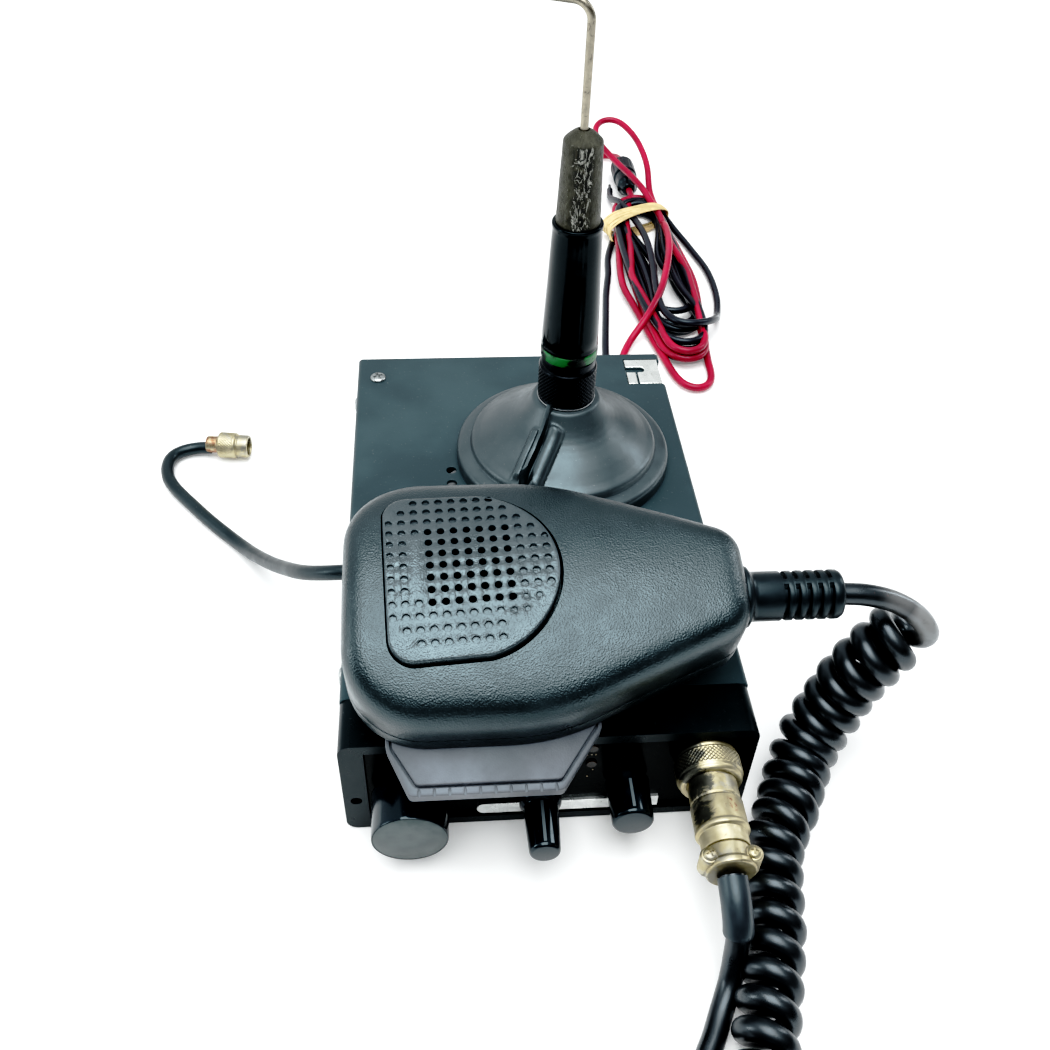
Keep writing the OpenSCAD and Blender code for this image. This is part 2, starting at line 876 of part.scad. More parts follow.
module antenna_collar() {
  color("#17191b")
    ant_frame()
      difference() {
        union() {
          translate([0, 0, 66.3])
            cylinder(h = 13.5, r = 9.5);
          translate([0, 0, 79.8])
            cylinder(h = 3.4, r = 8.8);
          for (i = [0:39])
            rotate([0, 0, i * 9])
              translate([9.2, -0.3, 67.4])
                cube([0.6, 0.6, 11.2]);
        }
        translate([0, 0, 60])
          cylinder(h = 13, r = 5);
      }
}

module marker_ring() {
  color("#1f5a33")
    ant_frame()
      translate([0, 0, 83.2])
        cylinder(h = 3.6, r = 9.3);
}

module loading_coil() {
  color("#0d0f11")
    ant_frame()
      translate([0, 0, 86.8])
        cylinder(h = 43.2, r1 = 9.2, r2 = 7.5);
}

module antenna_ferrule() {
  color("#7d7a70")
    ant_frame()
      difference() {
        union() {
          translate([0, 0, 130])
            cylinder(h = ferrule_top - 131, r1 = 6.7, r2 = 5.6);
          translate([0, 0, ferrule_top - 1])
            cylinder(h = 1, r1 = 5.6, r2 = 4.8);
        }
        translate([0, 0, 132])
          cylinder(h = 40, r = whip_dia / 2 + 0.05);
      }
}

module whip() {
  color("#8f8a7c")
    ant_frame() {
      translate([0, 0, 133])
        cylinder(h = whip_bend - 133, r = whip_dia / 2);
      translate([0, 0, whip_bend])
        sphere(r = whip_dia / 2 + 0.1);
      rotate([0, 0, whip_az])
        translate([0, 0, whip_bend])
          rotate([0, 90, 0])
            cylinder(h = 24, r = whip_dia / 2);
      rotate([0, 0, whip_az])
        translate([24, 0, whip_bend])
          sphere(r = whip_dia / 2 + 0.1);
    }
}

// ---------- microphone plug ----------

module coupling_nut() {
  color("#cfc4a0")
    difference() {
      union() {
        y_rod(jack_x, jack_z, nut_front + 1, nut_back - 1, 9.3);
        y_taper(jack_x, jack_z, nut_front, nut_front + 1, 8.6, 9.3);
        y_taper(jack_x, jack_z, nut_back - 1, nut_back, 9.3, 8.6);
        for (i = [0:35])
          translate([jack_x, nut_front + 1.2, jack_z])
            rotate([0, i * 10, 0])
              translate([9, 0, -0.4])
                cube([0.6, 6.6, 0.8]);
      }
      y_rod(jack_x, jack_z, nut_front + 1.6, nut_back + 1, 8.15);
      y_rod(jack_x, jack_z, nut_front - 1, nut_back, 7);
    }
}

module plug_shell() {
  color("#cfc4a0")
    difference() {
      union() {
        y_rod(jack_x, jack_z, -96.6, -95, 7.8);
        y_rod(jack_x, jack_z, -104.8, -96.6, 6.9);
        y_rod(jack_x, jack_z, -105.2, -104.8, 6.7);
        y_rod(jack_x, jack_z, -114.4, -105.2, 7.3);
        y_rod(jack_x, jack_z, -119, -114.4, 6.6);
      }
      y_rod(jack_x, jack_z, -120, -95, 3.6);
    }
}

module cord_clamp() {
  color("#cfc4a0")
    difference() {
      union() {
        y_rod(jack_x, jack_z, -123.6, -119, 6.2);
        y_rod(jack_x, jack_z, -125.6, -123.6, 6.9);
        for (s = [-1, 1])
          translate([jack_x + s * 6.2, -121.6, jack_z - 2.6]) {
            cylinder(h = 5.2, r = 2.5);
            translate([0, 0, 5.2])
              cylinder(h = 1.2, r = 1.9);
          }
      }
      y_rod(jack_x, jack_z, -130, -118, 4.3);
    }
}

// ---------- cords ----------

module mic_cord() {
  color("#0e1012") {
    tube(lead_path, mic_cord_dia / 2);
    tube(coil_path, coil_dia / 2, 12);
    tube(tail_path, mic_cord_dia / 2);
    tube(sleeve_path, 4);
  }
}

module coax_cable() {
  color("#17191b")
    tube(coax_path, coax_dia / 2);
}

module coax_connector() {
  color("#c9b990")
    translate([-119.1, 83, 5.2])
      rotate([0, 90, -8]) {
        cylinder(h = 4, r = 3.2);
        translate([0, 0, 4])
          cylinder(h = 8.5, r = 4.6);
        translate([0, 0, 12.5])
          cylinder(h = 3, r = 3.6);
      }
}

module power_leads() {
  color("#b5122f") {
    tube(red_path, wire_dia / 2);
    tube(loop_path, wire_dia / 2);
  }
  color("#16181a") {
    tube(black_path, wire_dia / 2);
    tube(arc_path, wire_dia / 2);
  }
}

module hank_outline() {
  hull()
    for (s = hank_spots)
      translate([s[0], s[1]])
        circle(r = s[2], $fn = 32);
}

module power_hank() {
  color("#8e1228")
    translate([0, 0, 0.8])
      linear_extrude(hank_h - 1)
        hank_outline();
}

// flat band round the hank, a little skewed
module rubber_band() {
  color("#c9b07a")
    translate([78, 258, 0])
      rotate([0, 0, 24])
        difference() {
          round_block([-20.7, 20.7], [-5, 5], [0, hank_h + 1], 1.5);
          round_block([-19.6, 19.6], [-6, 6], [0.7, hank_h], 0.4);
        }
}

module fuse_holder() {
  color("#1b1d1f")
    translate([79, 292, 6.6]) {
      y_rod(0, 0, 0, 14, 6);
      y_rod(0, 0, 14, 30, 6.5);
      y_taper(0, 0, 30, 34, 6, 3);
    }
}

bottom_cover();
top_cover();
chassis();
rear_panel();
rear_tab();
cover_screws();
front_bezel();
front_panel();
trim_strip();
display_window();
display_module();
indicator_leds();
front_board();
main_board();
rf_cans();
heat_spreader();
speaker();
channel_encoder();
squelch_pot();
volume_pot();
channel_knob();
channel_shaft();
squelch_knob();
squelch_shaft();
volume_knob();
volume_shaft();
mic_jack();
antenna_jack();
speaker_jack();
power_gland();
mic_front_shell();
mic_back_shell();
grille_plate();
mic_element();
mic_board();
mic_switch();
mic_screws();
hangup_stud();
strain_relief();
ptt_lever();
ptt_spring();
mount_boot();
mount_cup();
mount_magnet();
mount_stud();
antenna_collar();
marker_ring();
loading_coil();
antenna_ferrule();
whip();
coupling_nut();
plug_shell();
cord_clamp();
mic_cord();
coax_cable();
coax_connector();
power_leads();
power_hank();
rubber_band();
fuse_holder();
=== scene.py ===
import math

import bmesh
import bpy
from mathutils import Matrix, Vector, noise
from mathutils.geometry import delaunay_2d_cdt


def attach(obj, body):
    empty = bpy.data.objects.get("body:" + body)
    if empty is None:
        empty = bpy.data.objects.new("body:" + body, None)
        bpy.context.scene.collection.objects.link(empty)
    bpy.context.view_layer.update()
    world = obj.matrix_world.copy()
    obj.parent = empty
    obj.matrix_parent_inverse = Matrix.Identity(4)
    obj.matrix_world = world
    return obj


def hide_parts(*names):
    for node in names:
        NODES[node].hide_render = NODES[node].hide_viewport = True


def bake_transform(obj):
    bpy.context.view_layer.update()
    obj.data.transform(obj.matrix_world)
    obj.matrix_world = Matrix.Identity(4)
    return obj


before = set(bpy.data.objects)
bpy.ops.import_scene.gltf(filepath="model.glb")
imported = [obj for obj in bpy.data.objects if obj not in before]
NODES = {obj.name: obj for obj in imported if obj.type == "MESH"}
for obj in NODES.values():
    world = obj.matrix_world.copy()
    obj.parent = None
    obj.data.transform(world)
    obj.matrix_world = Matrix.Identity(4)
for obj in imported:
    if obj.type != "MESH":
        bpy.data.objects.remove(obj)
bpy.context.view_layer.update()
noise.seed_set(7)
MM = 0.001
TAU = 2 * math.pi
SUBSTEPS = 24
CREASE = 32


# ---------- small maths ----------


def clamp(x):
    return max(0.0, min(1.0, x))


def smooth(x):
    x = clamp(x)
    return x * x * (3 - 2 * x)


def spline(points, step):
    """Evenly spaced points, about step apart, on a smooth curve through the given points."""
    p = [Vector(q) for q in points]
    p = [p[0] * 2 - p[1]] + p + [p[-1] * 2 - p[-2]]
    fine = []
    for k in range(1, len(p) - 2):
        a, b, c, d = p[k - 1], p[k], p[k + 1], p[k + 2]
        ta = max((b - a).length, 1e-6) ** 0.5
        tb = ta + max((c - b).length, 1e-6) ** 0.5
        tc = tb + max((d - c).length, 1e-6) ** 0.5
        for i in range(SUBSTEPS):
            t = ta + (tb - ta) * i / SUBSTEPS
            ab = a * ((ta - t) / ta) + b * (t / ta)
            bc = b * ((tb - t) / (tb - ta)) + c * ((t - ta) / (tb - ta))
            cd = c * ((tc - t) / (tc - tb)) + d * ((t - tb) / (tc - tb))
            abc = ab * ((tb - t) / tb) + bc * (t / tb)
            bcd = bc * ((tc - t) / (tc - ta)) + cd * ((t - ta) / (tc - ta))
            fine.append(abc * ((tb - t) / (tb - ta)) + bcd * ((t - ta) / (tb - ta)))
    fine.append(p[-2])
    return even(fine, step)


def run_lengths(points):
    """The distance along the line to every point."""
    total = [0.0]
    for a, b in zip(points, points[1:]):
        total.append(total[-1] + (b - a).length)
    return total


def even(points, step):
    """The same line with points evenly spaced, about step apart."""
    total = run_lengths(points)
    count = max(2, round(total[-1] / step))
    out, k = [], 0
    for i in range(count + 1):
        s = total[-1] * i / count
        while k < len(points) - 2 and total[k + 1] < s:
            k += 1
        share = (s - total[k]) / max(total[k + 1] - total[k], 1e-9)
        out.append(points[k].lerp(points[k + 1], clamp(share)))
    return out


def frames(points):
    """A heading and two side directions at every point, carried along without twist."""
    out = []
    side = None
    for k in range(len(points)):
        heading = (points[min(k + 1, len(points) - 1)] - points[max(k - 1, 0)]).normalized()
        if side is None:
            side = heading.orthogonal().normalized()
        side = (side - heading * side.dot(heading)).normalized()
        out.append((heading, side, heading.cross(side)))
    return out


def polar(r, a, z=0.0):
    """The point at radius r and angle a, in radians, about Z."""
    return Vector((r * math.cos(a), r * math.sin(a), z))


def on_circle(centre, r, degrees):
    """A flat (x, y) point on a circle."""
    a = math.radians(degrees)
    return centre[0] + r * math.cos(a), centre[1] + r * math.sin(a)


def arc(centre, r, a0, a1, n):
    return [on_circle(centre, r, a0 + (a1 - a0) * i / n) for i in range(n + 1)]


def at(x, y, z, degrees=0, axis="Z"):
    """A place in the shared frame, in millimetres, turned about one axis."""
    return Matrix.Translation((x, y, z)) @ Matrix.Rotation(math.radians(degrees), 4, axis)


# ---------- mesh building, in millimetres ----------


def moved(shape, matrix):
    verts, faces = shape
    return [matrix @ Vector(v) for v in verts], faces


def joined(*shapes):
    verts, faces = [], []
    for v, f in shapes:
        base = len(verts)
        verts += list(v)
        faces += [tuple(i + base for i in face) for face in f]
    return verts, faces


def rings_mesh(rings, cap_start=True, cap_end=True, loop=False):
    """Joins rings of the same number of points by quads; loop joins the last ring to the first."""
    n = len(rings[0])
    faces = []
    for j in range(len(rings) if loop else len(rings) - 1):
        low, high = j * n, (j + 1) % len(rings) * n
        faces += [(low + i, low + (i + 1) % n, high + (i + 1) % n, high + i) for i in range(n)]
    if not loop and cap_start:
        faces.append(tuple(range(n - 1, -1, -1)))
    if not loop and cap_end:
        faces.append(tuple((len(rings) - 1) * n + i for i in range(n)))
    return [v for ring in rings for v in ring], faces


def lathe(profile, segs=64, warp=None):
    """Turns (radius, height) pairs about Z. warp(radius, height, angle) gives a new radius."""
    angles = [TAU * i / segs for i in range(segs)]
    return rings_mesh([[polar(warp(r, h, a) if warp else r, a, h) for a in angles] for r, h in profile])


def sweep(points, radius, sides=10):
    """A round tube along points; radius is a number or one number for each point."""
    rings = []
    for k, (p, (_, u, v)) in enumerate(zip(points, frames(points))):
        r = radius[k] if hasattr(radius, "__len__") else radius
        rings.append([p + (u * math.cos(TAU * i / sides) + v * math.sin(TAU * i / sides)) * r
                      for i in range(sides)])
    return rings_mesh(rings)


def box_shape(x, y, z):
    corners = [Vector((a, b, c)) for a in x for b in y for c in z]
    return corners, [(0, 1, 3, 2), (4, 6, 7, 5), (0, 4, 5, 1), (2, 3, 7, 6), (0, 2, 6, 4), (1, 5, 7, 3)]


def finely(profile, step, part=1):
    """The profile with points added wherever it runs on for more than a step in height (or radius)."""
    out = []
    for a, b in zip(profile, profile[1:]):
        n = max(1, int(abs(b[part] - a[part]) / step))
        out += [(a[0] + (b[0] - a[0]) * i / n, a[1] + (b[1] - a[1]) * i / n) for i in range(n)]
    return out + [profile[-1]]


def plug_shape(radius, low, high):
    return lathe([(0, low), (radius, low), (radius, high), (0, high)], 24)


def fillet(profile, radius, steps=3):
    """Rounds every inner corner of an open profile of (r, h) points."""
    p = [Vector(q) for q in profile]
    out = [p[0]]
    for a, b, c in zip(p, p[1:], p[2:]):
        u, v = a - b, c - b
        cut = min(radius, u.length * 0.45, v.length * 0.45)
        if cut < 1e-4 or u.normalized().dot(v.normalized()) < -0.999:
            out.append(b)
            continue
        s, e = b + u.normalized() * cut, b + v.normalized() * cut
        for i in range(steps + 1):
            t = i / steps
            out.append(s * (1 - t) ** 2 + b * 2 * t * (1 - t) + e * t * t)
    out.append(p[-1])
    return [(q.x, q.y) for q in out]


def new_object(name, shape, clean):
    """An object made from a shape in millimetres, with its faces turned outwards."""
    verts, faces = shape
    mesh = bpy.data.meshes.new(name)
    mesh.from_pydata([Vector(v) * MM for v in verts], [], faces)
    bm = bmesh.new()
    bm.from_mesh(mesh)
    if clean:
        bmesh.ops.remove_doubles(bm, verts=bm.verts, dist=2e-7)
        bmesh.ops.dissolve_degenerate(bm, edges=bm.edges, dist=1e-8)
    bmesh.ops.recalc_face_normals(bm, faces=bm.faces)
    bm.to_mesh(mesh)
    bm.free()
    obj = bpy.data.objects.new(name, mesh)
    bpy.context.scene.collection.objects.link(obj)
    return obj


def shade_smooth(mesh, crease):
    for polygon in mesh.polygons:
        polygon.use_smooth = True
    mesh.set_sharp_from_angle(angle=math.radians(crease))


def edge_round(obj, width, angle=CREASE):
    mod = obj.modifiers.new("edges", "BEVEL")
    mod.width = width * MM
    mod.segments = 2
    mod.limit_method = "ANGLE"
    mod.angle_limit = math.radians(angle)
    obj.modifiers.new("normals", "WEIGHTED_NORMAL").keep_sharp = True


def add(name, shape, material, body="radio", slot=None, replaces=(), crease=CREASE, bevel=0.0):
    """Makes a piece from a shape in millimetres, on a body of the CAD model."""
    obj = new_object(name, shape, True)
    obj.data.materials.append(material)
    shade_smooth(obj.data, crease)
    if bevel:
        edge_round(obj, bevel, crease)
    if body:
        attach(obj, body)
    if replaces:
        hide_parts(*replaces)
    return obj


def cut(obj, cutters):
    """Cuts shapes, in millimetres, out of a piece and keeps the result as its mesh."""
    tool = new_object("cutter", joined(*cutters), False)
    mod = obj.modifiers.new("cut", "BOOLEAN")
    mod.object = tool
    mod.solver = "EXACT"
    graph = bpy.context.evaluated_depsgraph_get()
    made = bpy.data.meshes.new_from_object(obj.evaluated_get(graph))
    obj.modifiers.remove(mod)
    spare = (obj.data, tool.data)
    obj.data = made
    bpy.data.objects.remove(tool)
    for mesh in spare:
        bpy.data.meshes.remove(mesh)
    shade_smooth(made, CREASE)


# ---------- materials ----------


def put(tree, socket, value):
    """Links an output to the socket, or sets the socket's own value."""
    if hasattr(value, "is_output"):
        tree.links.new(value, socket)
    elif socket.type == "RGBA" and len(value) == 3:
        socket.default_value = (*value, 1)
    else:
        socket.default_value = value


def add_node(tree, kind, out, values, **settings):
    """Adds a node with its settings and its inputs, by name or number, and returns one output."""
    node = tree.nodes.new("ShaderNode" + kind)
    for key, value in settings.items():
        setattr(node, key, value)
    for key, value in values.items():
        put(tree, node.inputs[key], value)
    return node.outputs[out]


def ease(tree, value, lo, hi, out_lo, out_hi):
    """Turns lo..hi into out_lo..out_hi with soft ends."""
    limits = {"From Min": lo, "From Max": hi, "To Min": out_lo, "To Max": out_hi}
    return add_node(tree, "MapRange", "Result", {"Value": value, **limits}, interpolation_type="SMOOTHSTEP")


class Shader:
    """Builds one node material; every method but done returns an output socket."""

    def __init__(self, name):
        self.material = bpy.data.materials.new(name)
        self.material.use_nodes = True
        self.tree = self.material.node_tree
        self.bsdf = self.tree.nodes["Principled BSDF"]
        self.coords = self.tree.nodes.new("ShaderNodeTexCoord").outputs["Object"]

    def node(self, kind, out, values, **settings):
        return add_node(self.tree, kind, out, values, **settings)

    def stretch(self, x, y, z):
        return self.node("Mapping", "Vector", {"Vector": self.coords, "Scale": (x, y, z)})

    def noise(self, size, detail=3.0, rough=0.55, vector=None, distortion=0.0):
        """Noise whose features are about size mm across."""
        return self.node("TexNoise", "Fac", {"Vector": vector or self.coords, "Scale": 1 / (size * MM),
                                             "Detail": detail, "Roughness": rough,
                                             "Distortion": distortion})

    def cells(self, size, feature):
        return self.node("TexVoronoi", "Distance", {"Vector": self.coords, "Scale": 1 / (size * MM)},
                         feature=feature)

    def ramp(self, value, lo, hi, out_lo=0.0, out_hi=1.0):
        return ease(self.tree, value, lo, hi, out_lo, out_hi)

    def near(self, point, radius, soft=0.5):
        """1 within radius mm of a point of the shared frame, fading to 0 beyond it."""
        place = [c * MM for c in point]
        far = self.node("VectorMath", "Value", {0: self.coords, 1: place}, operation="DISTANCE")
        return self.ramp(far, radius * (1 - soft) * MM, radius * (1 + soft) * MM, 1.0, 0.0)

    def maths(self, operation, a, b=0.0):
        return self.node("Math", 0, {0: a, 1: b}, operation=operation)

    def mix(self, share, a, b):
        """A blend of two colours; 6, 7 and the output 2 are the node's colour sockets."""
        return self.node("Mix", 2, {0: share, 6: a, 7: b}, data_type="RGBA")

    def axis(self, name):
        return self.node("SeparateXYZ", name, {0: self.coords})

    def bump(self, height, depth, strength=1.0, under=None):
        values = {"Distance": depth * MM, "Strength": strength, "Height": height}
        if under is not None:
            values["Normal"] = under
        return self.node("Bump", "Normal", values)

    def done(self, colour, rough, normal=None, metal=0.0, **plain):
        values = {"Base Color": colour, "Roughness": rough, "Metallic": metal}
        values.update({key.replace("_", " "): value for key, value in plain.items()})
        if normal is not None:
            values["Normal"] = normal
        for key, value in values.items():
            put(self.tree, self.bsdf.inputs[key], value)
        return self.material


def shade(colour, factor):
    return tuple(clamp(c * factor) for c in colour)


def moulded(name, colour, rough=0.45, grain=0.5, depth=0.03, dust=0.0, blotch=14.0, spec=0.32):
    """Moulded plastic or rubber: fine grain, uneven gloss, faint handling marks and dust."""
    s = Shader(name)
    patch = s.noise(blotch, 4)
    base = s.mix(s.ramp(patch, 0.35, 0.68), shade(colour, 0.82), shade(colour, 1.2))
    if dust:
        speck = s.ramp(s.noise(0.9, 2, 0.7), 0.66, 0.78, 0.0, dust)
        base = s.mix(speck, base, (0.42, 0.42, 0.4))
    fine = s.noise(grain, 2, 0.5)
    gloss = s.ramp(s.noise(blotch * 0.5, 5, 0.65), 0.3, 0.7, rough - 0.06, rough + 0.08)
    return s.done(base, gloss, s.bump(fine, depth), Specular_IOR_Level=spec,
                  Specular_Tint=(0.74, 0.93, 1.0, 1.0))


def metal(name, colour, rough=0.3, tarnish=None, stain=0.0, blotch=9.0):
    """Plated or bare metal with uneven gloss and, where asked, darker tarnish in patches."""
    s = Shader(name)
    patch = s.noise(blotch, 5, 0.6, distortion=0.6)
    base = s.mix(s.ramp(patch, 0.35, 0.7), shade(colour, 0.86), shade(colour, 1.08))
    if tarnish:
        worn = s.ramp(s.noise(blotch * 0.45, 6, 0.7, distortion=1.2), 0.6 - stain, 0.72 - stain)
        base = s.mix(worn, base, tarnish)
    gloss = s.ramp(s.noise(blotch * 0.6, 6, 0.7), 0.3, 0.7, rough - 0.07, rough + 0.12)
    return s.done(base, gloss, s.bump(s.noise(0.3, 3), 0.008), metal=1.0)


def curly_jacket():
    """Glossy black cord with small worn specks, and a painted sheen: grey laid on the lead's outer bend
    and, fainter, along its middle.
    """
    s = Shader("cord_jacket")
    base = s.mix(s.ramp(s.noise(12, 4), 0.35, 0.68), (0.0033, 0.0037, 0.0045), (0.005, 0.0056, 0.0068))
    # painted sheen: the lead's outer bend, and more faintly its middle, are greyed to stand for the sheen
    # along it
    bend = s.near((111, -67, 57), 8.0, 0.3)
    painted_sheen_mask = s.maths("MAXIMUM", bend, s.maths("MULTIPLY", s.near((101.5, -63, 63.5), 5.5, 0.7), 0.55))
    sheen_share = s.maths("MULTIPLY", painted_sheen_mask, s.ramp(s.noise(2, 4), 0.2, 0.5, 0.7, 1.0))
    base = s.mix(sheen_share, base, (0.2, 0.2, 0.2))
    worn = s.ramp(s.noise(1.1, 4, 0.7), 0.68, 0.74, 0.0, 0.8)
    base = s.mix(s.maths("MULTIPLY", worn, s.ramp(s.noise(24, 3), 0.48, 0.6)), base, (0.16, 0.075, 0.06))
    gloss = s.ramp(s.noise(7, 5, 0.65), 0.3, 0.7, 0.26, 0.38)
    return s.done(base, gloss, s.bump(s.noise(0.6, 2), 0.012), Specular_IOR_Level=0.72,
                  Specular_Tint=(0.8, 0.92, 1.0, 1.0))


# ---------- materials of the pieces ----------

M_CORD = curly_jacket()
M_SLEEVE = moulded("shrink_sleeve", (0.012, 0.014, 0.018), rough=0.4, grain=0.8, depth=0.02, spec=0.75)
M_COAX = moulded("coax_jacket", (0.01, 0.013, 0.015), rough=0.38, grain=0.7, depth=0.02, dust=0.15,
                 spec=0.45)
M_RED = moulded("red_wire", (0.29, 0.008, 0.035), rough=0.34, grain=0.7, depth=0.012, blotch=20, spec=0.3)
M_BLACK_WIRE = moulded("black_wire", (0.009, 0.007, 0.012), rough=0.32, grain=0.7, depth=0.012, spec=0.4)
M_BAND = moulded("tan_rubber", (0.62, 0.47, 0.24), rough=0.55, grain=0.5, depth=0.05, blotch=6)
M_COVER = moulded("slate_paint", (0.03, 0.045, 0.051), rough=0.42, grain=0.35, depth=0.012, dust=0.12,
                  blotch=38)
M_BASE = moulded("base_paint", (0.012, 0.02, 0.024), rough=0.45, grain=0.35, depth=0.012, dust=0.08,
                 blotch=38)
M_BEZEL = moulded("bezel_plastic", (0.0035, 0.006, 0.0075), rough=0.32, grain=0.5, depth=0.012, dust=0.1,
                  blotch=24, spec=0.24)
M_PANEL = moulded("panel_gloss", (0.0015, 0.002, 0.0022), rough=0.2, grain=1.2, depth=0.004, dust=0.06,
                  spec=0.08)
M_KNOB = moulded("knob_black", (0.003, 0.005, 0.008), rough=0.13, grain=0.9, depth=0.004, dust=0.1,
                 blotch=9, spec=0.45)
M_KNOB_FACE = moulded("knob_face", (0.075, 0.089, 0.089), rough=0.45, grain=0.4, depth=0.01, blotch=4,
                      spec=0.4)
M_RUBBER = moulded("boot_rubber", (0.024, 0.029, 0.032), rough=0.38, grain=0.5, depth=0.018, dust=0.22,
                   blotch=20, spec=0.9)
M_RELIEF = moulded("relief_rubber", (0.006, 0.008, 0.01), rough=0.34, grain=0.4, depth=0.014, spec=0.45)
M_TUBE = moulded("shrunk_tube", (0.002, 0.003, 0.004), rough=0.14, grain=2.5, depth=0.02, blotch=8,
                 spec=0.2)
M_HOUSING = moulded("holder_plastic", (0.008, 0.009, 0.012), rough=0.32, grain=0.5, depth=0.02, spec=0.4)
M_GREY = moulded("module_grey", (0.09, 0.095, 0.1), rough=0.5)
M_FERRITE = moulded("ferrite", (0.05, 0.052, 0.055), rough=0.6, grain=0.8, depth=0.06)
M_AMBER = moulded("amber_lens", (0.03, 0.012, 0.004), rough=0.2, grain=1.0, depth=0.004)
M_LENS = moulded("dark_red_lens", (0.02, 0.003, 0.003), rough=0.12, grain=1.5, depth=0.004)
M_RED_SWITCH = moulded("switch_body", (0.4, 0.06, 0.04), rough=0.45)
M_INK = moulded("dim_ink", (0.1, 0.12, 0.13), rough=0.5)
M_ZINC = metal("zinc_sheet", (0.6, 0.62, 0.63), rough=0.36, tarnish=(0.35, 0.36, 0.36), stain=0.02)
M_ALLOY = metal("bare_alloy", (0.66, 0.68, 0.69), rough=0.4)
M_NICKEL = metal("nickel_plate", (0.86, 0.87, 0.84), rough=0.24, tarnish=(0.5, 0.47, 0.42), stain=0.0,
                 blotch=5)
M_SCREW = metal("screw_steel", (0.4, 0.42, 0.42), rough=0.32, tarnish=(0.12, 0.12, 0.12), stain=0.04,
                blotch=2)
M_BRASS = metal("machined_brass", (0.75, 0.6, 0.33), rough=0.3)
M_SPRING = metal("spring_wire", (0.7, 0.71, 0.72), rough=0.25)
M_TRIM = metal("silver_foil", (0.85, 0.87, 0.86), rough=0.3, tarnish=(0.5, 0.52, 0.5), stain=-0.02,
               blotch=4)
M_COLLAR = metal("blackened_collar", (0.018, 0.021, 0.024), rough=0.3, tarnish=(0.08, 0.08, 0.075),
                 stain=-0.03, blotch=3)
M_WHIP = metal("dull_whip_steel", (0.3, 0.275, 0.225), rough=0.36, tarnish=(0.1, 0.085, 0.065), stain=0.04,
               blotch=4)


def plug_plating():
    """Pale gold plating, grey in patches, darkened where it has worn through and spotted with rust."""
    s = Shader("plug_plating")
    patch = s.noise(7, 5, 0.6, distortion=0.8)
    base = s.mix(s.ramp(patch, 0.35, 0.7), (0.37, 0.325, 0.21), (0.5, 0.455, 0.32))
    grey = s.ramp(s.noise(11, 5, 0.65, distortion=0.4), 0.52, 0.6)
    base = s.mix(grey, base, (0.36, 0.34, 0.28))
    worn = s.maths("ADD", s.near((36.5, -92.5, 32), 6.5, 0.25), s.near((39.5, -101, 31.5), 4.2, 0.6))
    worn = s.maths("MULTIPLY", s.maths("ADD", worn, s.near((39.5, -110, 31.5), 3.6, 0.7)), 0.32)
    blots = s.maths("ADD", s.noise(4.5, 7, 0.72, distortion=1.6), worn)
    base = s.mix(s.ramp(blots, 0.58, 0.76), base, (0.085, 0.085, 0.075))
    rust = s.ramp(s.maths("ADD", s.noise(2.2, 5, 0.7),
                          s.maths("MULTIPLY", s.near((46.5, -109, 34), 2.4, 0.6), 0.22)), 0.66, 0.78)
    rust_end = s.maths("MULTIPLY", s.near((-119, 83, 5), 4.5, 0.4), s.ramp(s.noise(2.5, 5, 0.7), 0.4, 0.55))
    base = s.mix(s.maths("MAXIMUM", rust, rust_end), base, (0.22, 0.085, 0.04))
    gloss = s.ramp(s.noise(3, 6, 0.7), 0.3, 0.7, 0.38, 0.54)
    return s.done(base, gloss, s.bump(s.noise(1.4, 5), 0.02), metal=1.0)


def ferrule_metal():
    """Worn olive plating with dried, flaking glue in pale streaks up the front."""
    s = Shader("ferrule_metal")
    base = s.mix(s.ramp(s.noise(5, 6, 0.7), 0.35, 0.68), (0.028, 0.027, 0.018), (0.06, 0.058, 0.042))
    x = s.axis("X")
    streak = s.noise(2.4, 8, 0.78, vector=s.stretch(1.1, 1, 0.42), distortion=2.6)
    band = s.ramp(s.maths("ABSOLUTE", s.maths("SUBTRACT", x, 0.0142)), 0.0016, 0.0042, 1.0, 0.0)
    band = s.maths("MULTIPLY", band, s.ramp(s.axis("Y"), 0.0275, 0.0285, 1.0, 0.0))
    band = s.maths("MULTIPLY", band, s.ramp(s.axis("Z"), 0.1545, 0.1555, 1.0, 0.0))
    dark = s.ramp(s.noise(3.2, 6, 0.7, vector=s.stretch(1, 1, 0.5), distortion=1.0), 0.36, 0.5)
    base = s.mix(s.maths("MULTIPLY", band, dark), base, (0.008, 0.008, 0.007))
    lift = s.maths("ADD", streak, s.maths("MULTIPLY", band, 0.12))
    rim = s.maths("MULTIPLY", s.near((14.5, 24.3, 155.2), 4.8, 0.3), s.ramp(s.axis("Z"), 0.1546, 0.1552))
    lift = s.maths("ADD", lift, s.maths("MULTIPLY", rim, 0.03))
    glue = s.ramp(lift, 0.64, 0.7)
    base = s.mix(glue, base, (0.42, 0.42, 0.38))
    lumps = s.bump(lift, 0.5, 0.9)
    return s.done(base, s.ramp(lift, 0.4, 0.7, 0.36, 0.75), s.bump(s.noise(0.5, 4), 0.03, under=lumps),
                  metal=0.25)


def green_ring():
    """A dark ring with green paint worn away in random patches, and more green kept at its two sides as a
    painted sheen.
    """
    s = Shader("green_ring")
    wear = s.noise(5, 5, 0.65, distortion=0.8)
    # painted sheen: extra green at the ring's left and right sides, where the sheen falls
    left = s.maths("ADD", s.near((8.6, 23, 85.4), 4.2, 0.5), s.near((21.4, 23.5, 85.2), 3.0, 0.5))
    green = s.ramp(s.maths("ADD", wear, s.maths("MULTIPLY", left, 0.3)), 0.58, 0.72)
    base = s.mix(green, (0.006, 0.012, 0.01), (0.02, 0.15, 0.045))
    return s.done(base, s.ramp(s.noise(3, 4), 0.3, 0.7, 0.25, 0.45), s.bump(s.noise(1.2, 4), 0.05),
                  Specular_IOR_Level=0.4)


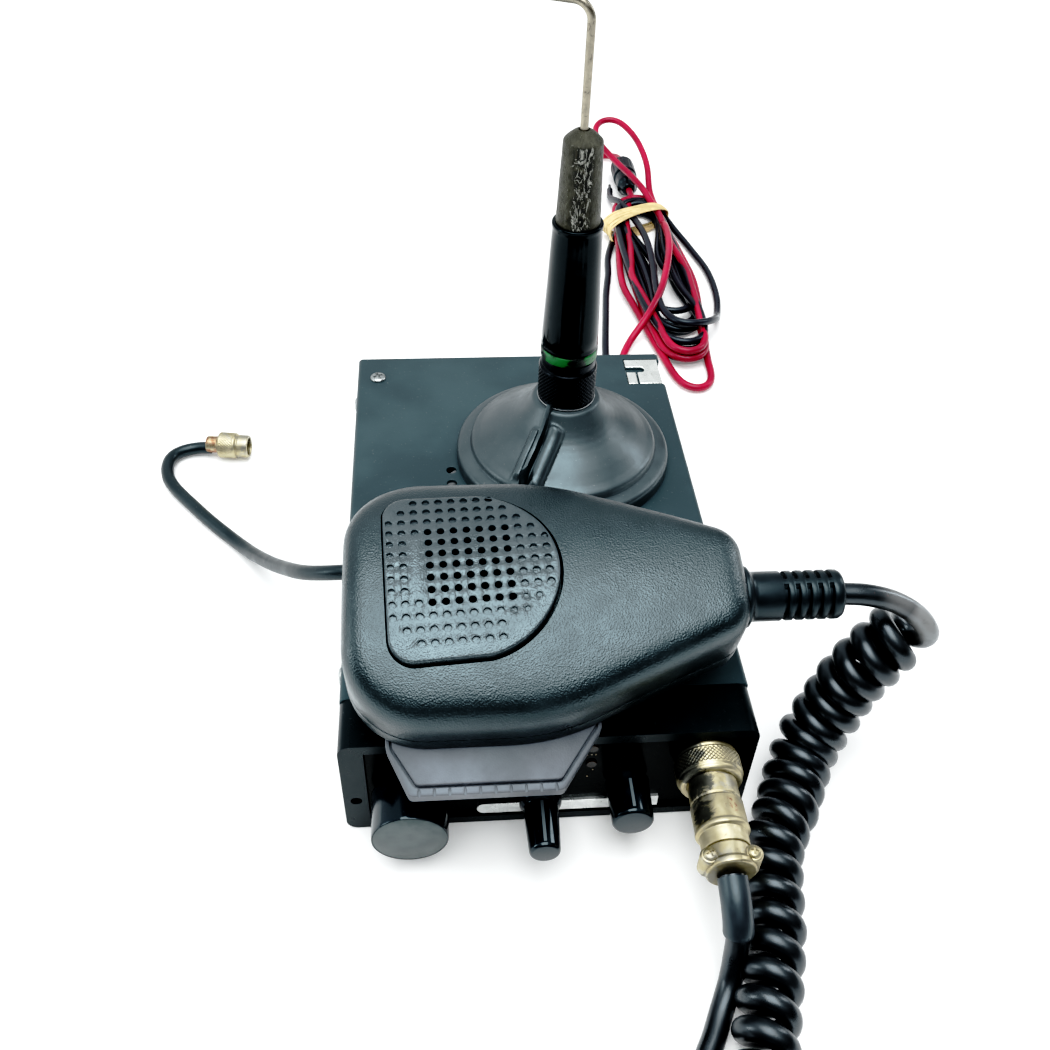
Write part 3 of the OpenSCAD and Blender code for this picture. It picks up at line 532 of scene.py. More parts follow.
def mic_leather(name, colour, depth=0.05, wear=0.5, size=0.55, gloss=0.4, spec=0.4):
    """Moulded leather grain with scuffed patches, pale specks and greasy handling marks."""
    s = Shader(name)
    patch = s.noise(26, 5, 0.6)
    base = s.mix(s.ramp(patch, 0.35, 0.68), shade(colour, 0.8), shade(colour, 1.28))
    scuff = s.ramp(s.noise(0.6, 3, 0.7), 0.68, 0.76, 0.0, wear)
    where = s.ramp(s.noise(17, 4, 0.6), 0.5, 0.66)
    base = s.mix(s.maths("MULTIPLY", scuff, where), base, (0.3, 0.3, 0.29))
    cell = s.cells(size, feature="SMOOTH_F1")
    grain = s.bump(cell, depth, 0.9)
    fine = s.bump(s.noise(0.3, 2), depth * 0.25, under=grain)
    shine = s.ramp(s.noise(12, 5, 0.65), 0.3, 0.7, gloss - 0.06, gloss + 0.08)
    return s.done(base, shine, fine, Specular_IOR_Level=spec, Specular_Tint=(0.74, 0.93, 1.0, 1.0))


def circuit_board():
    s = Shader("board_green")
    tracks = s.ramp(s.cells(2.2, feature="DISTANCE_TO_EDGE"), 0.02, 0.09)
    base = s.mix(tracks, (0.1, 0.26, 0.12), (0.025, 0.12, 0.06))
    return s.done(base, s.ramp(s.noise(4, 3), 0.3, 0.7, 0.22, 0.38), s.bump(tracks, 0.03))


M_PLUG = plug_plating()
M_FERRULE = ferrule_metal()
M_RING = green_ring()
M_BOARD = circuit_board()
M_MIC = mic_leather("mic_plastic", (0.006, 0.009, 0.0105), depth=0.11, wear=0.6, size=0.42, gloss=0.33,
                    spec=0.84)
M_PAD = mic_leather("grille_plastic", (0.03, 0.036, 0.04), depth=0.12, wear=0.6, size=0.44, gloss=0.32,
                    spec=1.0)
M_LEVER = mic_leather("lever_plastic", (0.12, 0.127, 0.143), depth=0.05, wear=0.2, size=0.4, gloss=0.45,
                      spec=0.4)
# painted shade: a near-black material for the discs inside the grille's through holes
M_HOLE_SHADE = moulded("hole_shade", (0.002, 0.002, 0.002), rough=0.8, spec=0.1)

# ---------- camera ----------

cam_data = bpy.data.cameras.new("camera")
cam_data.sensor_width = 36
cam_data.lens = 37.95
cam = bpy.data.objects.new("camera", cam_data)
bpy.context.scene.collection.objects.link(cam)
LOOK = Vector((0.07438, 0.71974, -0.69025)).normalized()
RIGHT = Vector((0.99680, -0.07407, 0.03017))
RIGHT = (RIGHT - LOOK * RIGHT.dot(LOOK)).normalized()
UP = RIGHT.cross(LOOK)
turn = Matrix((RIGHT, UP, -LOOK)).transposed().to_4x4()
cam.matrix_world = Matrix.Translation(Vector((-28.1, -266.6, 290.6)) * MM) @ turn
cam_data.clip_start = 0.01
cam_data.clip_end = 20
bpy.context.scene.camera = cam

# ---------- cord routes, in millimetres ----------

# The CAD model's points, but for LEAD without its last one, the end of RED_LEAD and the low circle
# of HANK, which suit the finer wires here. SHORT is this script's own.

LEAD = [(83.5, -61.4, 63.3), (91, -62, 63), (100, -63, 60.5), (107, -65.5, 56.5), (110.5, -68, 51.5)]
COIL = [(105, -64, 50), (98, -66.5, 43), (91.5, -68.5, 33), (86.5, -71.5, 23), (81, -76, 14.5),
        (76, -84, 9.8), (69.5, -97, 9), (63.5, -107, 9), (60, -119, 9), (57.5, -132, 9), (53, -147, 9),
        (48, -163, 9), (43, -184, 9), (33, -206, 9), (14, -217, 9), (-6, -212, 9), (-18, -196, 9)]
TAIL = [(-19, -191, 8), (-17, -180, 4.5), (-8, -170, 3.3), (6, -168, 3.3), (18, -172, 3.3), (28, -170, 3.3),
        (35.5, -160, 3.4), (40, -151.5, 4), (43.2, -145, 7), (44.6, -140.5, 13), (45, -137.3, 19.5)]
SLEEVE = [(45, -137.2, 19.6), (44.7, -132, 24.3), (44.5, -125.8, 26.9)]
COAX = [(-3, 0.5, 46), (-12, -11, 42.6), (-26, -21, 42.6), (-44, -26, 42.6), (-60, -26.5, 42.4),
        (-71, -20, 36),
        (-80, -8, 26), (-90, 9, 13), (-101, 26, 3.5), (-119, 46, 2.6), (-134, 67, 2.6), (-134, 79, 2.6),
        (-127, 83.5, 2.6), (-119.5, 83, 3.4)]
RED_LEAD = [(47.2, 94.2, 12), (48.5, 104, 9.5), (52, 122, 4), (56, 142, 1.9), (61, 153, 3.2)]
BLACK_LEAD = [(42.8, 94.2, 12), (43.5, 106, 8.5), (46.5, 130, 1.9), (50, 158, 1.9), (54, 190, 1.9),
              (57.5, 212, 1.9)]
LOOP = [(90, 286, 8), (90, 304, 15), (84, 330, 22), (74, 343, 25), (65, 339, 23), (65, 324, 20),
        (72, 306, 17),
        (80, 290, 15.5), (85, 278, 13.6)]
ARC = [(98, 254, 3), (104, 236, 1.9), (108, 214, 1.9), (108, 190, 1.9), (104.5, 172, 2.6), (101, 162, 8)]
# circles (x, y, radius) whose common outline the turns of the hank follow
HANK = [(85.2, 122.2, 9.2), (80, 200, 19.5), (80.5, 272, 13.5)]
SHORT = [(83.5, 143, 12), (80, 200, 19.5), (80.5, 268, 13)]
STRAND_R = 3.2
COIL_R = 17.8 / 2 - STRAND_R
WIRE_R = 1.7
COAX_R = 4.9 / 2
CORD_STEP = 1.15
WIRE_STEP = 2.0
TIGHT = 8.0
HANK_TURN_R = 10.4


def coil_pitch(share):
    """The coil is closed up near the microphone and drawn out where it hangs and lies loose."""
    return 6.9 + 1.1 * smooth((share - 0.12) / 0.3)


def coil_along(points, radius, start_side):
    """A helix about a smooth line, starting on a given side of it and closing in over its last turn."""
    line = spline(points, 0.35)
    runs = run_lengths(line)
    u, v = frames(line)[0][1:]
    side = Vector(start_side)
    phase = math.atan2(side.dot(v), side.dot(u))
    turned = [0.0]
    for a, b in zip(runs, runs[1:]):
        turned.append(turned[-1] + (b - a) / coil_pitch(a / runs[-1]))
    out = []
    for k, (p, (_, u, v)) in enumerate(zip(line, frames(line))):
        swell = 1.3 * smooth((0.4 - runs[k] / runs[-1]) / 0.25)
        r = (radius + swell) * smooth((turned[-1] - turned[k]) / 0.9)
        a = phase - TAU * turned[k]
        out.append(p + (u * math.cos(a) + v * math.sin(a)) * r)
    return even(out, CORD_STEP)


def soften(points, where, reach, times):
    """Evens out the line near the given places, leaving the rest and both ends alone."""
    points = [p.copy() for p in points]
    for _ in range(times):
        before = [p.copy() for p in points]
        for k in range(1, len(points) - 1):
            near = min((points[k] - w).length for w in where)
            share = 0.5 * smooth((reach - near) / reach * 2)
            if share:
                points[k] = before[k].lerp((before[k - 1] + before[k + 1]) / 2, share)
    return points


def nearest(points, place, first=0):
    return min(range(first, len(points)), key=lambda k: (points[k] - place).length)


def joint_spline(first, middle, last):
    """A spline through middle that leaves one line and meets another on their own headings."""
    pts = spline([*first, *middle, *last], CORD_STEP)
    start = nearest(pts, first[-1]) if first else 0
    stop = nearest(pts, last[0], len(pts) // 2) if last else len(pts) - 1
    return pts[start:stop + 1]


def mic_cord_line():
    coil = coil_along(COIL, COIL_R, (0.71, -0.24, -0.66))
    lead = joint_spline([], LEAD, [coil[3], coil[6]])
    tail = joint_spline([coil[-14], coil[-9]], TAIL[1:] + SLEEVE[1:], [])
    whole = even(lead[:-1] + coil[3:-9] + tail, CORD_STEP)
    return soften(whole, [coil[3], coil[-9]], 12, 12)


HANKS = {}
OUTLINE_STEPS, OUTLINE_START = 720, 20


def around(spots, turn, inset, height):
    """The point that many turns round the circles' common outline, from low right up, moved in by inset."""
    key = (tuple(spots), round(inset, 1))
    if key not in HANKS:
        ring = []
        for i in range(OUTLINE_STEPS):
            a = TAU * (i - OUTLINE_START) / OUTLINE_STEPS
            n = Vector((math.cos(a), math.sin(a)))
            x, y, r = max(spots, key=lambda s: s[0] * n.x + s[1] * n.y + s[2])
            ring.append(Vector((x + (r - inset) * n.x, y + (r - inset) * n.y, 0)))
        HANKS[key] = even(ring + ring[:1], 1.0)
    ring = HANKS[key]
    place = (turn % 1.0) * (len(ring) - 1)
    k = int(place)
    p = ring[k].lerp(ring[min(k + 1, len(ring) - 1)], place - k)
    return Vector((p.x, p.y, height))


def wind(stops):
    """Points through (circles, turns, inset, height) stops, with easy changes between them."""
    out = []
    for (s0, f0, d0, z0), (s1, f1, d1, z1) in zip(stops, stops[1:]):
        n = max(2, round(abs(f1 - f0) / 0.035))
        for i in range(n):
            t = smooth(i / n)
            f = f0 + (f1 - f0) * i / n
            out.append(around(s0, f, d0, z0).lerp(around(s1, f, d1, z1), t))
    spots, f, d, z = stops[-1]
    out.append(around(spots, f, d, z))
    return out


def relaxed(line):
    """The line with bends tighter than TIGHT mm eased without shrinking its curves, its ends kept."""
    pts = [p.copy() for p in line]
    for turn in range(120):
        eased = set()
        for i in range(1, len(pts) - 1):
            a, b = pts[i] - pts[i - 1], pts[i + 1] - pts[i]
            if a.angle(b, 0.0) * TIGHT > (a.length + b.length) / 2:
                eased.update(range(max(3, i - 6), min(len(pts) - 3, i + 7)))
        if not eased:
            break
        for share in (0.5, -0.48):
            pts = [p + ((pts[i - 1] + pts[i + 1]) / 2 - p) * share if i in eased else p for i,
                   p in enumerate(pts)]
        if turn % 8 == 7:
            pts = even(pts, 2.0)
    return pts


def ruffled(points, size, seed, keep=6):
    """Small loose waves, none near the ends."""
    out = []
    for k, p in enumerate(points):
        s = smooth(min(k, len(points) - 1 - k) / keep) * size
        w = noise.noise_vector(Vector((p.x / 38, p.y / 38, seed * 7.3 + k / len(points) * 9)))
        out.append(p + Vector((w.x * s, w.y * s, 0)))
    return out


# ---------- cords ----------

cord_line = mic_cord_line()
mic_cord = add("mic_curly_cord", sweep(cord_line, STRAND_R, 16), M_CORD, body=None, slot="cord_black",
               replaces=["mic_cord"],
               crease=60)
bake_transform(mic_cord)
sleeve_line = spline([TAIL[-2], *SLEEVE], 0.6)
sleeve_line = sleeve_line[min(range(len(sleeve_line)), key=lambda k: abs(sleeve_line[k].z - 18.6)):]
sleeve_r = [3.3, 3.95, 4.1] + [4.1 - 0.1 * k / len(sleeve_line) for k in range(len(sleeve_line) - 3)]
sleeve_line = sleeve_line[:1] + sleeve_line[:1] + sleeve_line[1:-1]
sleeve_line[1] = sleeve_line[1] + (sleeve_line[2] - sleeve_line[1]) * 0.1
shrink = add("mic_cord_sleeve", sweep(sleeve_line, sleeve_r, 32), M_SLEEVE, slot="cord_black", crease=40)


coax_line = relaxed(spline(COAX, WIRE_STEP))
coax = add("coax_lead", sweep(coax_line, COAX_R, 16), M_COAX, slot="cord_black", replaces=["coax_cable"],
           crease=60)

red_over = [(68.5, 161.5, 9.5), (76, 176, 13.6), (82.5, 196, 15.0), (88.5, 224, 14.6), (91, 246, 11.2)]
red_turn = wind([(HANK, 0.37, 4.4, 8.6), (HANK, 0.45, 3.2, 7.6), (HANK, 0.54, 1.9, 5.6),
                 (HANK, 0.7, 1.9, 4.6), (HANK, 0.86, 1.9, 2.4),
                 (HANK, 1.08, 1.9, 1.9), (SHORT, 1.3, 1.9, 1.9), (SHORT, 1.44, 1.8, 1.9),
                 (SHORT, 1.56, 5.3, 1.9), (SHORT, 1.72, 8.6, 3.2),
                 (SHORT, 1.88, 3.0, 5.0), (SHORT, 2.1, 1.9, 5.2), (SHORT, 2.3, 1.9, 5.6)])
red_back = wind([(SHORT, 0.3, 6.0, 9.4), (SHORT, 0.2, 5.2, 8.8), (SHORT, 0.08, 3.2, 8.6),
                 (SHORT, -0.04, 3.2, 8.6), (SHORT, -0.2, 5.6, 8.8),
                 (SHORT, -0.36, 7.6, 8.6)])
red_dive = [(88, 268.5, 10.2), (89.8, 259, 9.8)]
red_end = [(73, 262, 8), (77, 278, 7), (79, 285, 6.6), (79, 293, 6.6)]
red_line = spline(RED_LEAD + red_over + red_turn + LOOP + red_dive + red_back + red_end, WIRE_STEP)
red_line = relaxed(ruffled(red_line, 1.1, 1))
red = add("red_conductor", sweep(red_line, WIRE_R, 12), M_RED, slot="wire_red", replaces=["power_leads"],
          crease=60)


def fill_turns(runs):
    """Turns inside the hank, each given as (right x, left x, bottom centre, top centre, height)."""
    out = []
    for right, left, low, high, z in runs:
        waist = max(190, low[1] + 30)
        out += [(*on_circle(high, HANK_TURN_R, a), z) for a in (90, 45, 0)]
        out += [(right, 225, z), (right + 1, waist, z)]
        out += [(*on_circle(low, HANK_TURN_R, a), z) for a in (0, -45, -90, -135, -180)]
        out += [(left + 1.5, waist, z), (left, 225, z)]
        out += [(*on_circle(high, HANK_TURN_R, a), z) for a in (180, 135)]
    return out


black_turns = fill_turns([(93.5, 68.5, (84, 150), (79.5, 266), 1.9),
                          (88.5, 75, (84, 171), (79.5, 266), 1.9),
                          (91, 71.5, (84.5, 152), (80, 267), 5.3),
                          (84.5, 79.5, (84.5, 184), (80, 267), 5.3),
                          (87, 73, (84, 163), (79.5, 265), 8.4), (90, 77, (84.5, 177.5), (80, 266), 1.9),
                          (93, 66.5, (84, 154), (79.5, 265), 8.5)])
black_turns += [(84, 277, 8.2), (91.5, 270, 5.6)]
black_mid = [(92, 152.5, 12.8), (82, 152, 13.2), (76.5, 161, 12.6), (75.5, 178, 12.0), (77.5, 203, 12.0),
             (78, 232, 12.0), (76, 255, 9.8), (72, 274, 8.6), (69, 290, 3.4), (70, 301, 2.0)]
black_line = spline(BLACK_LEAD + [(60.5, 232, 1.9)] + black_turns + ARC + black_mid, WIRE_STEP)
black_line = relaxed(ruffled(black_line, 0.9, 2))
black = add("black_conductor", sweep(black_line, WIRE_R, 12), M_BLACK_WIRE, slot="cord_black",
            replaces=["power_hank"],
            crease=60)
tail_line = relaxed(spline([(79, 325, 6.6), (79, 334, 5.2), (74.5, 342.5, 2.4), (65, 343, 1.8),
                            (58.5, 336, 1.8), (57.5, 326, 1.8)], WIRE_STEP))
red_tail = add("fused_tail", sweep(tail_line, WIRE_R, 12), M_RED, slot="wire_red", crease=60)


def bare_end(name, line):
    """Seven twisted strands beyond the end of the insulation."""
    heading = (line[-1] - line[-3]).normalized()
    u = heading.orthogonal().normalized()
    v = heading.cross(u)
    parts = []
    for s in range(7):
        pts = []
        for k in range(12):
            a = TAU * s / 6 + k * 0.22
            r = 0.0 if s == 6 else 0.55
            pts.append(line[-1] + heading * (k * 0.7 - 0.8) + (u * math.cos(a) + v * math.sin(a)) * r)
        parts.append(sweep(pts, 0.3, 6))
    return add(name, joined(*parts), M_SCREW, slot="tin", crease=50)


black_tip = bare_end("black_bare_end", black_line)
tail_tip = bare_end("fused_bare_end", tail_line)

# fuse holder: two ribbed halves round an inline fuse, its axis along the lead
HOLDER = at(79, 292, 6.6, -90, "X")
holder_profile = [(1.75, -0.4), (3, -0.2), (3.6, 0.4), (4.4, 3.0), (5.6, 4.2), (5.95, 5), (5.95, 12.6),
                  (5.6, 13.2), (5.6, 13.7),
                  (6.45, 14.2), (6.5, 15), (6.5, 27), (6.2, 28.2), (4.2, 30.6), (3.0, 33.2), (1.75, 33.6)]


def gripped(r, h, a):
    """Finger grooves round one half of the fuse holder and two flats on the other."""
    if 15.5 < h < 27.5 and r > 6.3:
        return r - 0.35 * smooth((math.cos(a * 12) - 0.1) * 2)
    if r > 5 and h < 13:
        return r - 0.25 * smooth((abs(math.cos(a)) - 0.9) / 0.06)
    return r


holder_shape = lathe(finely(fillet(holder_profile, 0.5), 1.5), 96, warp=gripped)
holder = add("inline_fuse_holder", moved(holder_shape, HOLDER), M_HOUSING, slot="rubber_black",
             replaces=["fuse_holder"], crease=40)

# rubber band: eight turns side by side round the hank, and two strands hanging loose at one side
band_turns = []
BAND_TURNS, BAND_STEPS = 8, 96
for i in range(BAND_TURNS):
    skew = (i - (BAND_TURNS - 1) / 2) * 0.95
    lift = 0.4 * (i % 2)
    ring = []
    for k in range(BAND_STEPS):
        a = TAU * k / BAND_STEPS
        c, s = math.cos(a), math.sin(a)
        squash = (abs(c) ** 2.6 + abs(s) ** 2.6) ** (-1 / 2.6)
        wob = noise.noise(Vector((c * 1.7, s * 1.7, i * 3.1))) * 0.8
        fan = 1.0 - 0.34 * c
        ring.append(Vector((c * squash * (18.9 + lift * 0.6), skew * fan + wob + 0.9 * c,
                            6.5 + s * squash * (5.95 + lift * 0.5))))
    rings = []
    for k, p in enumerate(ring):
        ahead = (ring[(k + 1) % BAND_STEPS] - ring[k - 1]).normalized()
        wide = (Vector((0, 1, 0)) - ahead * ahead.y).normalized()
        thick = ahead.cross(wide)
        rings.append([p + wide * (0.72 * math.cos(b)) + thick * (0.42 * math.sin(b)) for b in
                      (TAU * (j + 0.5) / 10 for j in range(10))])
    band_turns.append(rings_mesh(rings, loop=True))
for i, slip in enumerate((3.5, 5.5)):
    strand = spline([(-18.8, -2.2 - i, 9), (-19.6, -4.6 - slip * 0.3, 5.5), (-18.8, -6.0 - slip * 0.5, 2.4),
                     (-14, -5.2 - slip * 0.2, 0.7)], 0.8)
    band_turns.append(sweep(strand, 0.55, 8))
BAND = at(78, 258, 0, 24)
add("tan_rubber_band", moved(joined(*band_turns), BAND), M_BAND, slot="band_tan", replaces=["rubber_band"],
    crease=60)

# coax connector: hex ferrule, knurled barrel and open mouth, on the ground beside the radio
COAX_END = at(-119.1, 83, 5.2, -8) @ at(0, 0, 0, 90, "Y")
connector_profile = [(2.5, -1.5), (3.1, -1.4), (3.3, -0.8), (3.3, 2.8), (3.8, 3.3), (4.8, 3.6), (5.1, 4.0),
                     (5.1, 9.9),
                     (4.9, 10.4), (4.3, 10.7), (4.3, 11.2), (4.5, 11.4), (4.5, 14.6), (4.3, 15.2),
                     (3.7, 15.4), (3.4, 15.0),
                     (3.4, 10.5), (0.8, 10.4), (0.75, 13.6), (0.3, 14.0)]

def knurl(deep, count, lean, lo, hi, least):
    """A diamond knurl on the part of a turned shape between two heights."""
    def warp(r, h, a):
        if lo < h < hi and r > least:
            fade = smooth(min(h - lo, hi - h) / 0.5)
            crossing = math.sin((a * count + h * lean) / 2) * math.sin((a * count - h * lean) / 2)
            return r - deep * fade * (1 - abs(crossing) ** 0.5)
        return r
    return warp


connector_shape = lathe(finely(connector_profile, 0.25), 160, warp=knurl(0.3, 30, 5.2, 4.3, 9.7, 4.9))
connector = add("coax_end_fitting", moved(connector_shape, COAX_END), M_PLUG, slot="plug_metal",
                replaces=["coax_connector"], crease=50)

# microphone plug, turned about the jack's axis
JACK_X, JACK_Z = 44.5, 27
SCREW_Y = -122.4
PLUG = at(JACK_X, 0, JACK_Z, 90, "X")

nut_profile = [(8.2, 89.6), (8.7, 89.6), (9.0, 89.9), (9.0, 90.6), (8.75, 90.9), (8.75, 91.1), (9.3, 91.4),
               (9.5, 91.8),
               (9.5, 96.2), (9.3, 96.7), (9.0, 97.0), (8.9, 97.8), (8.5, 98.4), (7.7, 98.6), (7.1, 98.6),
               (7.1, 97.9), (8.2, 97.6),
               (8.2, 89.6)]
add("plug_coupling_nut", moved(lathe(finely(nut_profile, 0.2), 288,
                                     warp=knurl(0.4, 46, 5.2, 91.6, 96.5, 9.2)), PLUG),
    M_PLUG, "plug_nut", "plug_metal", ["coupling_nut"], crease=55)

shell_profile = [(3.6, 95.1), (7.7, 95.1), (7.75, 96.4), (7.1, 96.7), (6.95, 97.2), (6.95, 104.5),
                 (6.75, 104.8), (6.75, 105.1),
                 (7.1, 105.3), (7.3, 105.6), (7.35, 112.6), (7.5, 113.2), (7.5, 114.1), (7.1, 114.5),
                 (6.65, 114.7), (6.6, 119.0),
                 (3.6, 119.0)]
shell = add("plug_barrel", moved(lathe(fillet(shell_profile, 0.25), 96), PLUG), M_PLUG, slot="plug_metal",
            replaces=["plug_shell"], crease=40)


def clamp_shape():
    body = lathe(fillet([(4.3, 119.05), (6.1, 119.05), (6.2, 119.4), (6.2, 123.0), (6.5, 123.4),
                         (6.9, 123.8), (6.9, 125.2), (6.5, 125.6),
                         (4.3, 125.6)], 0.3), 64)
    parts = [moved(body, PLUG)]
    for s in (-1, 1):
        ear = lathe(fillet([(0, -2.8), (2.1, -2.8), (2.5, -2.3), (2.5, 4.4), (2.1, 4.8), (0, 4.8)], 0.3),
                    40)
        parts.append(moved(ear, at(JACK_X + s * 5.9, SCREW_Y, JACK_Z)))
        web = box_shape((-2.4, 2.4), (-2.2, 2.6), (-2.6, 2.4))
        parts.append(moved(web, at(JACK_X + s * 4.2, -122.2, JACK_Z)))
    return joined(*parts)


clamp_piece = add("plug_cord_clamp", clamp_shape(), M_PLUG, slot="plug_metal", replaces=["cord_clamp"],
                  crease=35)


def screw_head(radius, height):
    """A domed head, its flat side at height 0."""
    dome = [(0, 0), (radius, 0), (radius, height * 0.3)]
    for a in range(15, 76, 15):
        x, y = on_circle((0, 0), 1, a)
        dome.append((radius * x, height * (0.3 + 0.7 * y)))
    return lathe([*dome, (0.02, height)], 40)


def cross_recess(radius, height):
    w, deep = radius * 0.16, height * 0.55
    return [box_shape((-radius * 0.62, radius * 0.62), (-w, w), (height - deep, height + 1)),
            box_shape((-w, w), (-radius * 0.62, radius * 0.62), (height - deep, height + 1))]


def screws(name, places, radius, height, material, **where):
    """Domed cross-head screws; places are matrices whose Z points out of the surface."""
    obj = add(name, joined(*[moved(screw_head(radius, height), m) for m in places]), material, **where)
    for i, m in enumerate(places):
        for b in cross_recess(radius, height):
            cut(obj, [moved(b, m @ Matrix.Rotation(0.4 + 0.9 * i, 4, "Z"))])
    return obj


clamp_screws = screws("clamp_screws", [at(JACK_X + s * 5.9, SCREW_Y, 31.8) for s in (-1, 1)], 1.8, 1.2,
                      M_PLUG, slot="plug_metal")

# ---------- kept CAD nodes ----------

CAD_FINISH = {
    "bottom_cover": (M_BASE, 0.3), "chassis": (M_ZINC, 0.15), "rear_panel": (M_BEZEL, 0.3),
    "front_bezel": (M_BEZEL, 0.5), "front_panel": (M_PANEL, 0.15),
    "trim_strip": (M_TRIM, 0.2), "display_window": (M_LENS, 0.15), "display_module": (M_GREY, 0.2),
    "indicator_leds": (M_AMBER, 0.2), "front_board": (M_BOARD, 0.0), "main_board": (M_BOARD, 0.0),
              "rf_cans": (M_ZINC, 0.3),
    "heat_spreader": (M_ALLOY, 0.3), "speaker": (M_GREY, 0.3), "channel_encoder": (M_ZINC, 0.2),
              "squelch_pot": (M_ZINC, 0.2),
    "volume_pot": (M_ZINC, 0.2), "channel_shaft": (M_ALLOY, 0.2), "squelch_shaft": (M_ALLOY, 0.2),
    "volume_shaft": (M_ALLOY, 0.2), "mic_jack": (M_NICKEL, 0.2), "antenna_jack": (M_NICKEL, 0.25),
    "speaker_jack": (M_NICKEL, 0.2), "power_gland": (M_RUBBER, 0.3), "mic_element": (M_ALLOY, 0.3),
    "mic_board": (M_BOARD, 0.0), "mic_switch": (M_RED_SWITCH, 0.2), "mic_screws": (M_SCREW, 0.15),
    "hangup_stud": (M_NICKEL, 0.3), "ptt_spring": (M_SPRING, 0.1), "mount_cup": (M_ZINC, 0.3),
    "mount_magnet": (M_FERRITE, 0.3), "mount_stud": (M_BRASS, 0.2),
}


def dress(node, material, width):
    """A kept CAD node gets its material and, by modifiers alone, a small round on its edges."""
    obj = NODES[node]
    obj.data.materials.clear()
    obj.data.materials.append(material)
    weld = obj.modifiers.new("weld", "WELD")
    weld.merge_threshold = 2e-6
    if width:
        edge_round(obj, width, 40)


for node, (material, width) in CAD_FINISH.items():
    dress(node, material, width)

# ---------- hand microphone ----------

MIC = at(0, -57.5, 48.8, 15, "X")
HEAD_X, END_X, END_HALF, MIC_W, MIC_T, PART_T = -55.5, 54, 18, 75, 31, 12
SHOULDER_IN, SHOULDER_DROP, FACE_R, BACK_R = 10, 10, 87, 8
GRILLE = at(-21.2, 4.5, 0, 2.4)


def mic_outline(d):
    """The microphone's outline, inset by d, as a closed list with the same points at every inset."""
    re, rs, rh = max(10 - d, 1.5), 60 - d, max(22 - d, 3)
    ce = Vector((END_X - d - re, END_HALF - d - re))
    cs = Vector((-12, MIC_W / 2 - d - rs))
    ch = Vector((HEAD_X + d + rh, MIC_W / 2 - d - rh))
    v = ce - cs
    a = math.degrees(math.atan2(v.y, v.x) + math.acos((rs - re) / v.length))
    half = [(END_X - d, ce.y * i / 4) for i in range(4)]
    half += arc(ce, re, 0, a, 10)
    for centre, r, a0, a1, steps, gap in ((cs, rs, a, 90, 16, 10), (ch, rh, 90, 180, 14, 6)):
        bend = arc(centre, r, a0, a1, steps)
        p, q = half[-1], bend[0]
        half += [(p[0] + (q[0] - p[0]) * i / gap, p[1] + (q[1] - p[1]) * i / gap) for i in range(1, gap)]
        half += bend
    half += [(HEAD_X + d, ch.y * (1 - i / 6)) for i in range(1, 7)]
    return half + [(x, -w) for x, w in half[-2:0:-1]]


def crown(w):
    return MIC_T - w * w / (2 * FACE_R)


def mic_ring(d, z):
    """The microphone's outline, inset by d, at height z."""
    return [Vector((x, w, z)) for x, w in mic_outline(d)]


def front_rings():
    rings = [mic_ring(0.5, PART_T), mic_ring(0.08, PART_T + 0.35), mic_ring(0, PART_T + 0.8)]
    for i in range(15):
        a = math.radians(90 * i / 14)
        fall, least = SHOULDER_DROP * (1 - math.sin(a) ** 0.6), PART_T + 0.9 + 0.05 * i
        ring = mic_outline(SHOULDER_IN * (1 - max(math.cos(a), 0) ** 0.6))
        rings.append([Vector((x, w, max(crown(w) - fall, least))) for x, w in ring])
    for s in (0.86, 0.7, 0.52, 0.34, 0.18, 0.06):
        rings.append([Vector((-6 + (x + 6) * s, w * s, crown(w * s))) for x, w in mic_outline(SHOULDER_IN)])
    return rings


def grille_outline(grow):
    """The grille's outline, grown by a distance: a bowed right side and two rounded left corners."""
    pts = [(22 + (24.6 + grow) * x, (25.4 + grow) * y) for x, y in arc((0, 0), 1, -80, 80, 40)]
    pts += arc((7, 18.4), 7 + grow, 92, 172, 10)
    pts += [(-grow, 18.4 - 36.8 * i / 12) for i in range(1, 12)]
    pts += arc((7, -18.4), 7 + grow, 182, 262, 10)
    return [GRILLE @ Vector((x - 22.6, w - 1.2, 0)) for x, w in pts]


def prism(ring, low, high):
    return rings_mesh([[Vector((p.x, p.y, low)) for p in ring], [Vector((p.x, p.y, high)) for p in ring]])


front = add("mic_front_shell_skin", moved(rings_mesh(front_rings()), MIC), M_MIC, "microphone",
            "mic_plastic",
            ["mic_front_shell"], crease=40)
well = [p + Vector((0.25, -0.3, 0)) for p in grille_outline(0.65)]
cut(front, [moved(prism(well, MIC_T - 9, MIC_T + 4), MIC)])

HOLE_R, HOLE_SIDES, PITCH_X, PITCH_W = 1.14, 18, 3.5, 3.65
# the first and last column of the rows that are shorter than the middle ones
ROW_SPAN = {6: (-4, 2), 5: (-5, 3), 4: (-6, 4), 3: (-6, 5), -3: (-6, 5), -4: (-6, 4), -5: (-5, 2),
            -6: (-4, 2)}


def grille_holes():
    """(x, w, through, damage) of every hole and dimple, leaving the blank label strip bare."""
    out = []
    for j in range(-6, 7):
        lo, hi = ROW_SPAN.get(j, (-6, 6))
        for i in range(lo, hi + 1):
            if i == -4 and -2 <= j <= 2:
                continue
            p = GRILLE @ Vector((PITCH_X * i, PITCH_W * j, 0))
            out.append((p.x, p.y, abs(i) <= 3 and abs(j) <= 3, damage(p.x, p.y)))
    return out


def damage(x, w):
    """How rough the rubbed patch near the lower right of the grille is, from 0 to 1."""
    return smooth(1.25 - math.hypot((x + 6.5) / 8.5, (w + 7.5) / 5.5))


